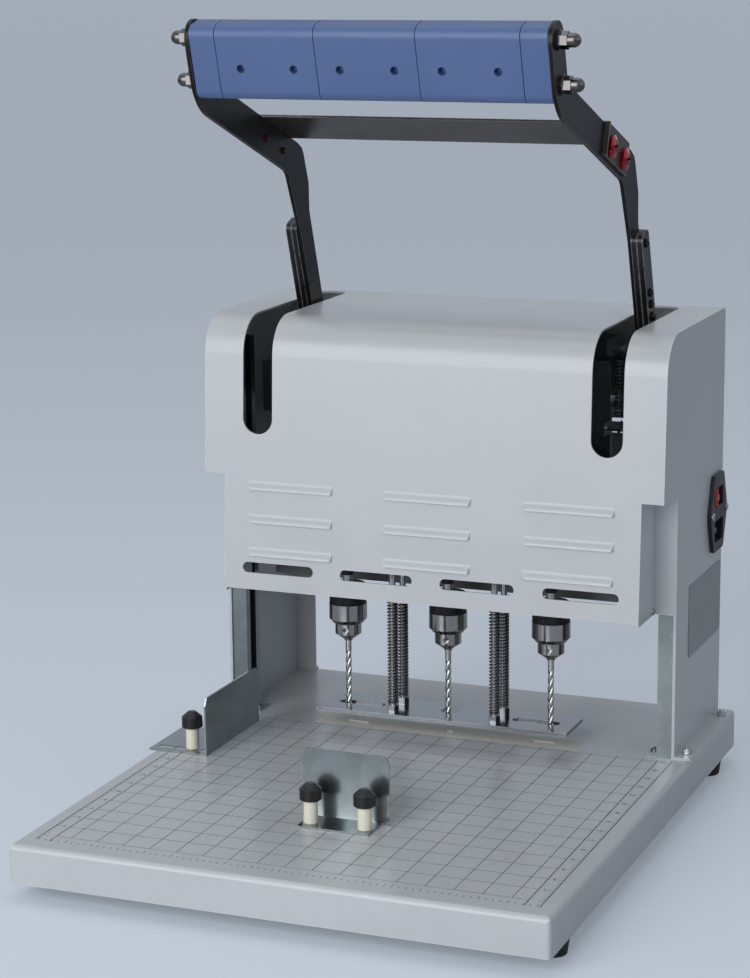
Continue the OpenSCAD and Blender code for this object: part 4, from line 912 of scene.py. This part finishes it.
@dataclass
class Lever:
    """The two arms, their root bars, the brace and the blue grip."""

    machine: Machine
    dresser: Dresser
    head_r: float = 8.0

    def build(self) -> None:
        """Dress the lever's pieces."""
        for node in ("left_arm", "right_arm"):
            self.dresser.dress(node, "black_lacquer", 0.4)
        for node in ("left_root_bars", "right_root_bars"):
            self.dresser.dress(node, "edged_bar", 0.5)
        self.dresser.dress("root_bolts", "blackened_screw", 0.2)
        self.dresser.dress("shaft_collars", "blackened_screw", 0.4)
        self.dresser.dress("pivot_shaft", "turned_steel", 0.4)
        self.dresser.dress("pinions", "turned_steel")
        self.dresser.dress("brace_plate", "bronzed_strip")
        self.dresser.dress("brace_screws", "red_screw", 0.35)
        self.dresser.dress("grip_rods", "turned_steel", 0.4)
        self.dresser.dress("acorn_nuts", "black_nickel", 0.35)
        for node in ("grip_left_end", "grip_left", "grip_middle", "grip_right", "grip_right_end"):
            self.dresser.dress(node, "blue_grip", 0.9)
        self.screw_ends()

    def screw_ends(self) -> None:
        """Cap the dark ends of the brace's screws on the arms' inner faces."""
        low, high = self.machine.box("brace_screws")
        arm_low, _ = self.machine.box("right_arm")
        shape = Shape(self.dresser)
        for y, z in ((high.y - self.head_r, low.z + self.head_r), (low.y + self.head_r, high.z - self.head_r)):
            for side in (-1, 1):
                inner = side * arm_low.x
                shape.rod(Vector((inner, y, z)), Vector((inner - side * 2.1, y, z)), 2.6, 2.3, sides=24)
        shape.finish("brace_screw_ends", "blackened_screw", "lever")


@dataclass
class Coil:
    """A wound spring on an upright axis."""

    x: float
    y: float
    low_z: float
    high_z: float
    radius: float
    wire: float
    turns: float
    dead_turns: float = 1.25
    steps: int = 16
    sides: int = 8

    def wind(self, shape: Shape) -> None:
        """Wind the wire from the lower end to the upper one.

        Args:
            shape: The shape that it joins.
        """
        ring = bmesh.ops.create_circle(
            shape.mesh, cap_ends=True, segments=self.sides, radius=self.wire / 2,
            matrix=Matrix.Translation((self.x + self.radius, self.y, self.low_z + self.wire / 2))
            @ Matrix.Rotation(math.pi / 2, 4, "X"),
        )["verts"]
        faces = list({face for vert in ring for face in vert.link_faces})
        dead = self.wire * 1.04
        live_turns = self.turns - 2 * self.dead_turns
        live = (self.high_z - self.low_z - self.wire - 2 * self.dead_turns * dead) / live_turns
        geometry = faces
        for turns, pitch in ((self.dead_turns, dead), (live_turns, live), (self.dead_turns, dead)):
            count = round(turns * self.steps)
            geometry = bmesh.ops.spin(
                shape.mesh, geom=geometry, cent=(self.x, self.y, 0.0), axis=(0, 0, 1),
                dvec=(0, 0, pitch / self.steps), angle=math.tau * count / self.steps, steps=count,
                use_merge=False, use_duplicate=False,
            )["geom_last"]


@dataclass
class DrillHead:
    """The head plate, the motors, the chucks and the bits."""

    machine: Machine
    dresser: Dresser
    bit_r: float = 2.35
    bit_turns: float = 3.1
    bit_steps: int = 72
    flute_low_z: float = 12.2
    flute_high_z: float = 58.0
    tip_z: float = 11.0
    teeth: int = 22
    tooth_x: tuple[float, float] = (10.4, 14.95)
    tooth_z: tuple[float, float] = (14.7, 18.7)
    tooth_half_w: float = 0.7
    band_z: tuple[float, float] = (31.0, 45.2)
    band_sides: int = 96
    notch: float = 0.22

    def build(self) -> None:
        """Dress the head and cut the chucks' teeth and the bits' flutes."""
        for node in ("head_plate", "head_brackets"):
            self.dresser.dress(node, "primer_with_painted_interior_light", 0.35)
        self.dresser.dress("slide_blocks", "white_nylon", 0.4)
        self.dresser.dress("racks", "turned_steel")
        self.dresser.dress("spring_posts", "turned_steel", 0.2)
        for side in ("left", "middle", "right"):
            self.dresser.dress(f"{side}_motor", "black_moulding", 0.6)
            self.dresser.dress(f"{side}_chuck", "polished_chuck", 0.25)
            self.chuck_teeth(side)
            self.chuck_band(side)
            self.bit(side)

    def _centre(self, side: str) -> tuple[float, float]:
        """Give the middle of a spindle.

        Args:
            side: Which spindle.

        Returns:
            Its place.
        """
        low, high = self.machine.box(f"{side}_chuck")
        return (low.x + high.x) / 2, (low.y + high.y) / 2

    def chuck_teeth(self, side: str) -> None:
        """Cut the ring of teeth that the key turns.

        Args:
            side: Which spindle.
        """
        x, y = self._centre(side)
        low, _ = self.machine.box(f"{side}_chuck")
        shape = Shape(self.dresser)
        for number in range(self.teeth):
            verts = shape.block(
                (x + self.tooth_x[0], y - self.tooth_half_w, low.z + self.tooth_z[0]),
                (x + self.tooth_x[1], y + self.tooth_half_w, low.z + self.tooth_z[1]),
            )
            for vert in verts:
                if vert.co.z < low.z + 16 and vert.co.x > x + 14:
                    vert.co.x -= 3.3
            shape.turn(verts, 360 * number / self.teeth, (x, y, 0))
        shape.finish(f"{side}_chuck_teeth", "polished_chuck", f"{side}_spindle", bevel=0.15)

    def chuck_band(self, side: str) -> None:
        """Slip the black knurled band over the chuck's upper sleeve.

        Args:
            side: Which spindle.
        """
        x, y = self._centre(side)
        low, high = self.machine.box(f"{side}_chuck")
        radius = (high.x - low.x) / 2 - 0.6
        bottom, top = (low.z + z for z in self.band_z)
        shape = Shape(self.dresser)
        shape.lathe(
            [(radius + 0.02, bottom), (radius + 0.3, bottom + 0.3), (radius + 0.3, top - 0.3), (radius + 0.02, top)],
            (x, y), self.band_sides,
        )
        for vert in shape.mesh.verts:
            out = Vector((vert.co.x - x, vert.co.y - y))
            step = round(math.degrees(math.atan2(out.y, out.x)) / (360 / self.band_sides))
            if out.length > radius + 0.2 and step % 2:
                vert.co.x -= out.x / out.length * self.notch
                vert.co.y -= out.y / out.length * self.notch
        shape.finish(f"{side}_chuck_band", "blackened_screw", f"{side}_spindle", smooth=20.0)

    def bit(self, side: str) -> None:
        """Twist the two flutes of a drill bit.

        Args:
            side: Which spindle.
        """
        x, y = self._centre(side)
        shape = Shape(self.dresser)
        circle = bmesh.ops.create_circle(
            shape.mesh, cap_ends=True, segments=24, radius=self.bit_r,
            matrix=Matrix.Translation((x, y, self.flute_low_z)),
        )["verts"]
        for vert in circle:
            angle = math.atan2(vert.co.y - y, vert.co.x - x)
            share = 0.46 + 0.54 * abs(math.cos(angle)) ** 0.4
            vert.co = (x + (vert.co.x - x) * share, y + (vert.co.y - y) * share, vert.co.z)
        base = list(shape.mesh.faces)
        edges = list(base[0].edges)
        rise = (self.flute_high_z - self.flute_low_z) / self.bit_steps
        for _ in range(self.bit_steps):
            grown = bmesh.ops.extrude_edge_only(shape.mesh, edges=edges)["geom"]
            verts = [item for item in grown if isinstance(item, bmesh.types.BMVert)]
            edges = [
                item for item in grown
                if isinstance(item, bmesh.types.BMEdge) and all(vert in set(verts) for vert in item.verts)
            ]
            bmesh.ops.translate(shape.mesh, verts=verts, vec=(0, 0, rise))
            shape.turn(verts, 360 * self.bit_turns / self.bit_steps, (x, y, 0))
        tip = bmesh.ops.poke(shape.mesh, faces=base)["verts"]
        bmesh.ops.translate(shape.mesh, verts=tip, vec=(0, 0, self.tip_z - self.flute_low_z))
        low, _ = self.machine.box(f"{side}_chuck")
        shape.rod(Vector((x, y, self.flute_high_z - 0.5)), Vector((x, y, low.z + 2)), self.bit_r, sides=24)
        bmesh.ops.recalc_face_normals(shape.mesh, faces=shape.mesh.faces)
        piece = shape.finish(f"{side}_fluted_bit", "ground_bit", f"{side}_spindle", smooth=50.0)
        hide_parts(f"{side}_bit")


@dataclass
class Springs:
    """The press springs round the rods and the return springs beside the arms."""

    machine: Machine
    dresser: Dresser
    press_turns: int = 33
    return_turns: int = 16
    spring_r: float = 4.3

    def build(self) -> None:
        """Wind all the springs."""
        self.press_springs()
        self.return_springs()

    def press_springs(self) -> None:
        """Wind the four springs that press the plate down."""
        low, high = self.machine.box("press_springs")
        plate_low, plate_high = self.machine.box("press_plate")
        head_low, _ = self.machine.box("head_plate")
        radius = 3.55
        wire = 1.5
        shape = Shape(self.dresser)
        outer = self.spring_r
        for x in (low.x + outer, high.x - outer):
            for y in (low.y + outer, high.y - outer):
                Coil(x, y, plate_high.z + 0.1, head_low.z - 0.1, radius, wire, self.press_turns).wind(shape)
        bmesh.ops.recalc_face_normals(shape.mesh, faces=shape.mesh.faces)
        piece = shape.finish("wound_press_springs", "spring_wire", "", smooth=60.0)
        middle = (plate_low.y + plate_high.y) / 2
        self.machine.at(0, middle, head_low.z)
        self.machine.at(0, middle, plate_high.z)
        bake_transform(piece)
        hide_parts("press_springs")

    def return_springs(self) -> None:
        """Wind the two springs that lift the head, with their hooks."""
        low, high = self.machine.box("return_springs")
        radius = 3.2
        wire = 1.2
        hook = 7.0
        shape = Shape(self.dresser)
        for x in (low.x + radius + wire / 2, high.x - radius - wire / 2):
            y = (low.y + high.y) / 2
            Coil(x, y, low.z + hook, high.z - hook, radius, wire, self.return_turns, dead_turns=0.5).wind(shape)
            for end_z, side in ((low.z, -1), (high.z, 1)):
                self._hook(shape, Vector((x, y, end_z + side * 2.4)), -side, hook, radius, wire)
        bmesh.ops.recalc_face_normals(shape.mesh, faces=shape.mesh.faces)
        piece = shape.finish("wound_return_springs", "spring_wire", "", smooth=60.0)
        middle = (low.y + high.y) / 2
        self.machine.at(0, middle, high.z)
        self.machine.at(0, middle, low.z)
        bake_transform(piece)
        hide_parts("return_springs")

    def _hook(self, shape: Shape, post: Vector, side: int, hook: float, radius: float, wire: float) -> None:
        """Bend a spring's end round its post.

        Args:
            shape: The shape that it joins.
            post: Middle of the post.
            side: 1 where the coil lies above the post, and -1 below.
            hook: Length of the hook.
            radius: The coil's radius.
            wire: The wire's diameter.
        """
        bend = 2.6
        ring = bmesh.ops.create_circle(
            shape.mesh, cap_ends=True, segments=8, radius=wire / 2,
            matrix=Matrix.Translation(post + Vector((0, bend, side * 0.2))),
        )["verts"]
        faces = list({face for vert in ring for face in vert.link_faces})
        bmesh.ops.spin(
            shape.mesh, geom=faces, cent=post, axis=(1, 0, 0), dvec=(0, 0, 0), angle=-side * math.radians(200),
            steps=14, use_merge=False, use_duplicate=False,
        )
        top = post + Vector((0, bend, side * 0.2))
        shape.rod(top, post + Vector((radius * 0.4, radius * 0.9, side * hook)), wire / 2, sides=8)


@dataclass
class PressPlate:
    """The plate that holds the paper, with its rods and nuts."""

    dresser: Dresser

    def build(self) -> None:
        """Dress the plate and its rods."""
        self.dresser.dress("press_plate", "pressed_plate")
        self.dresser.dress("guide_rods", "turned_steel", 0.3)


@dataclass
class PaperGuides:
    """The side guide and the front stop with their magnets and knobs."""

    machine: Machine
    dresser: Dresser
    knob_ridges: int = 30

    def build(self) -> None:
        """Dress the guides and turn their knobs."""
        self.dresser.dress("side_guide", "zinc_sheet")
        self.dresser.dress("front_stop", "zinc_sheet", 0.35)
        self.dresser.dress("side_magnet", "cream_moulding", 0.6)
        self.dresser.dress("stop_magnets", "cream_moulding", 0.6)
        self.knobs("side_magnet_knob", "side_guide_set")
        self.knobs("stop_magnet_knobs", "front_stop_set")

    def knobs(self, node: str, body: str) -> None:
        """Turn the ribbed knobs of one guide.

        Args:
            node: The knobs' node.
            body: The body that they ride on.
        """
        low, high = self.machine.box(node)
        radius = (high.y - low.y) / 2
        width = high.x - low.x
        places = [low.x + radius] if width < 3 * radius else [low.x + radius, high.x - radius]
        y = (low.y + high.y) / 2
        shape = Shape(self.dresser)
        height = high.z - low.z
        for x in places:
            shape.lathe(
                [(0, low.z), (radius - 0.9, low.z), (radius - 0.35, low.z + 0.5),
                 (radius - 0.35, low.z + height * 0.66), (radius - 0.9, low.z + height * 0.72),
                 (radius * 0.42, high.z - 0.2), (radius * 0.3, high.z), (0, high.z)],
                (x, y), 60,
            )
            for number in range(self.knob_ridges):
                start = Vector((x + radius - 0.5, y, low.z + 0.6))
                end = Vector((x + radius - 0.5, y, low.z + height * 0.66))
                verts = shape.rod(start, end, 0.5, sides=6)
                shape.turn(verts, 360 * number / self.knob_ridges, (x, y, 0))
        piece = shape.finish(f"{node}_ribbed", "black_moulding", body)
        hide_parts(node)


# ---------------------------------------------------------------- studio


@dataclass
class Studio:
    """The pale floor, the lamps and the camera."""

    machine: Machine
    focal: float = 95.23
    place: tuple[float, float, float] = (666.6, -1460.7, 608.1)
    azimuth: float = 21.94
    elevation: float = 12.19
    roll: float = -0.54

    def build(self) -> None:
        """Set up the floor, the lamps and the camera."""
        self.floor()
        self.lamps()
        self.sky()
        self.camera()

    def floor(self) -> None:
        """Lay a plain pale floor that runs far back."""
        mesh = bmesh.new()
        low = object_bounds()[0]
        bmesh.ops.create_grid(mesh, x_segments=1, y_segments=1, size=40.0, matrix=Matrix.Translation((0, 0, low[2])))
        data = bpy.data.meshes.new("floor")
        mesh.to_mesh(data)
        mesh.free()
        floor = bpy.data.objects.new("floor", data)
        bpy.context.scene.collection.objects.link(floor)
        material = bpy.data.materials.new("pale_floor")
        material.use_nodes = True
        shader = material.node_tree.nodes["Principled BSDF"]
        shader.inputs["Base Color"].default_value = linear((196, 205, 216))
        shader.inputs["Roughness"].default_value = 0.6
        shader.inputs["Emission Color"].default_value = linear((196, 205, 216))
        seen = Graph(material.node_tree)
        path = seen.add("ShaderNodeLightPath")
        seen.join(seen.maths("MULTIPLY", path.outputs["Is Camera Ray"], 0.3), shader.inputs["Emission Strength"])
        data.materials.append(material)
        floor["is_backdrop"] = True

    def lamps(self) -> None:
        """Hang a large soft lamp in front and two weaker ones beside and above."""
        self._lamp("front_lamp", (-500, -1900, 900), (0, 200, 200), 1.8, 35.5)
        self._lamp("right_lamp", (1700, 100, 900), (0, 300, 150), 1.2, 2.0)
        self._lamp("top_lamp", (-200, 500, 2100), (0, 300, 0), 1.6, 6.0)

    def _lamp(
        self, name: str, place: tuple[float, float, float], target: tuple[float, float, float], size: float,
        power: float,
    ) -> None:
        """Hang one square lamp.

        Args:
            name: The lamp's name.
            place: Where it hangs.
            target: What it points at.
            size: Its width in metres.
            power: Its power in watts.
        """
        data = bpy.data.lights.new(name, "AREA")
        data.size = size
        data.energy = power
        lamp = bpy.data.objects.new(name, data)
        start, end = self.machine.at(*place), self.machine.at(*target)
        lamp.matrix_world = Matrix.Translation(start) @ (end - start).to_track_quat("-Z", "Y").to_matrix().to_4x4()
        bpy.context.scene.collection.objects.link(lamp)

    def sky(self) -> None:
        """Light everything evenly, in front of a pale background."""
        world = bpy.data.worlds.new("studio")
        bpy.context.scene.world = world
        world.use_nodes = True
        graph = Graph(world.node_tree)
        ambient = world.node_tree.nodes["Background"]
        ambient.inputs["Color"].default_value = (0.92, 0.96, 1.0, 1.0)
        ambient.inputs["Strength"].default_value = 0.26
        seen = graph.add("ShaderNodeBackground")
        seen.inputs["Color"].default_value = linear((190, 200, 212))
        path = graph.add("ShaderNodeLightPath")
        visible = graph.maths("MAXIMUM", path.outputs["Is Camera Ray"], path.outputs["Is Transmission Ray"])
        visible = graph.maths("MAXIMUM", visible, path.outputs["Is Glossy Ray"])
        mix = graph.add("ShaderNodeMixShader")
        graph.join(visible, mix.inputs[0])
        graph.join(ambient.outputs[0], mix.inputs[1])
        graph.join(seen.outputs[0], mix.inputs[2])
        graph.join(mix.outputs[0], world.node_tree.nodes["World Output"].inputs["Surface"])
        bpy.context.scene.view_settings.view_transform = "Standard"

    def camera(self) -> None:
        """Set the camera where the photograph was taken."""
        data = bpy.data.cameras.new("camera")
        data.lens = self.focal
        data.sensor_width = 36.0
        data.sensor_fit = "AUTO"
        data.clip_end = 30.0
        azimuth, elevation, roll = (math.radians(a) for a in (self.azimuth, self.elevation, self.roll))
        back = Vector(
            (math.sin(azimuth) * math.cos(elevation), -math.cos(azimuth) * math.cos(elevation), math.sin(elevation))
        )
        right = (-back).cross(Vector((0, 0, 1))).normalized()
        up = right.cross(-back)
        turned = Matrix((right, up, back)).transposed() @ Matrix.Rotation(roll, 3, "Z")
        camera = bpy.data.objects.new("camera", data)
        camera.matrix_world = Matrix.Translation(self.machine.at(*self.place)) @ turned.to_4x4()
        bpy.context.scene.collection.objects.link(camera)
        bpy.context.scene.camera = camera


def main() -> None:
    """Dress the machine and set up the studio."""
    logging.basicConfig(level=logging.INFO, format="%(message)s")
    machine = Machine.load()
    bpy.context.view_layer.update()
    Studio(machine).build()
    workshop = Workshop()
    workshop.build()
    materials = {name: finish.build(name, workshop) for name, finish in FINISHES.items()}
    dresser = Dresser(machine, materials)
    Table(machine, dresser).build()
    Housing(machine, dresser).build()
    Lever(machine, dresser).build()
    DrillHead(machine, dresser).build()
    PressPlate(dresser).build()
    Springs(machine, dresser).build()
    PaperGuides(machine, dresser).build()


if __name__ == "__main__":
    main()
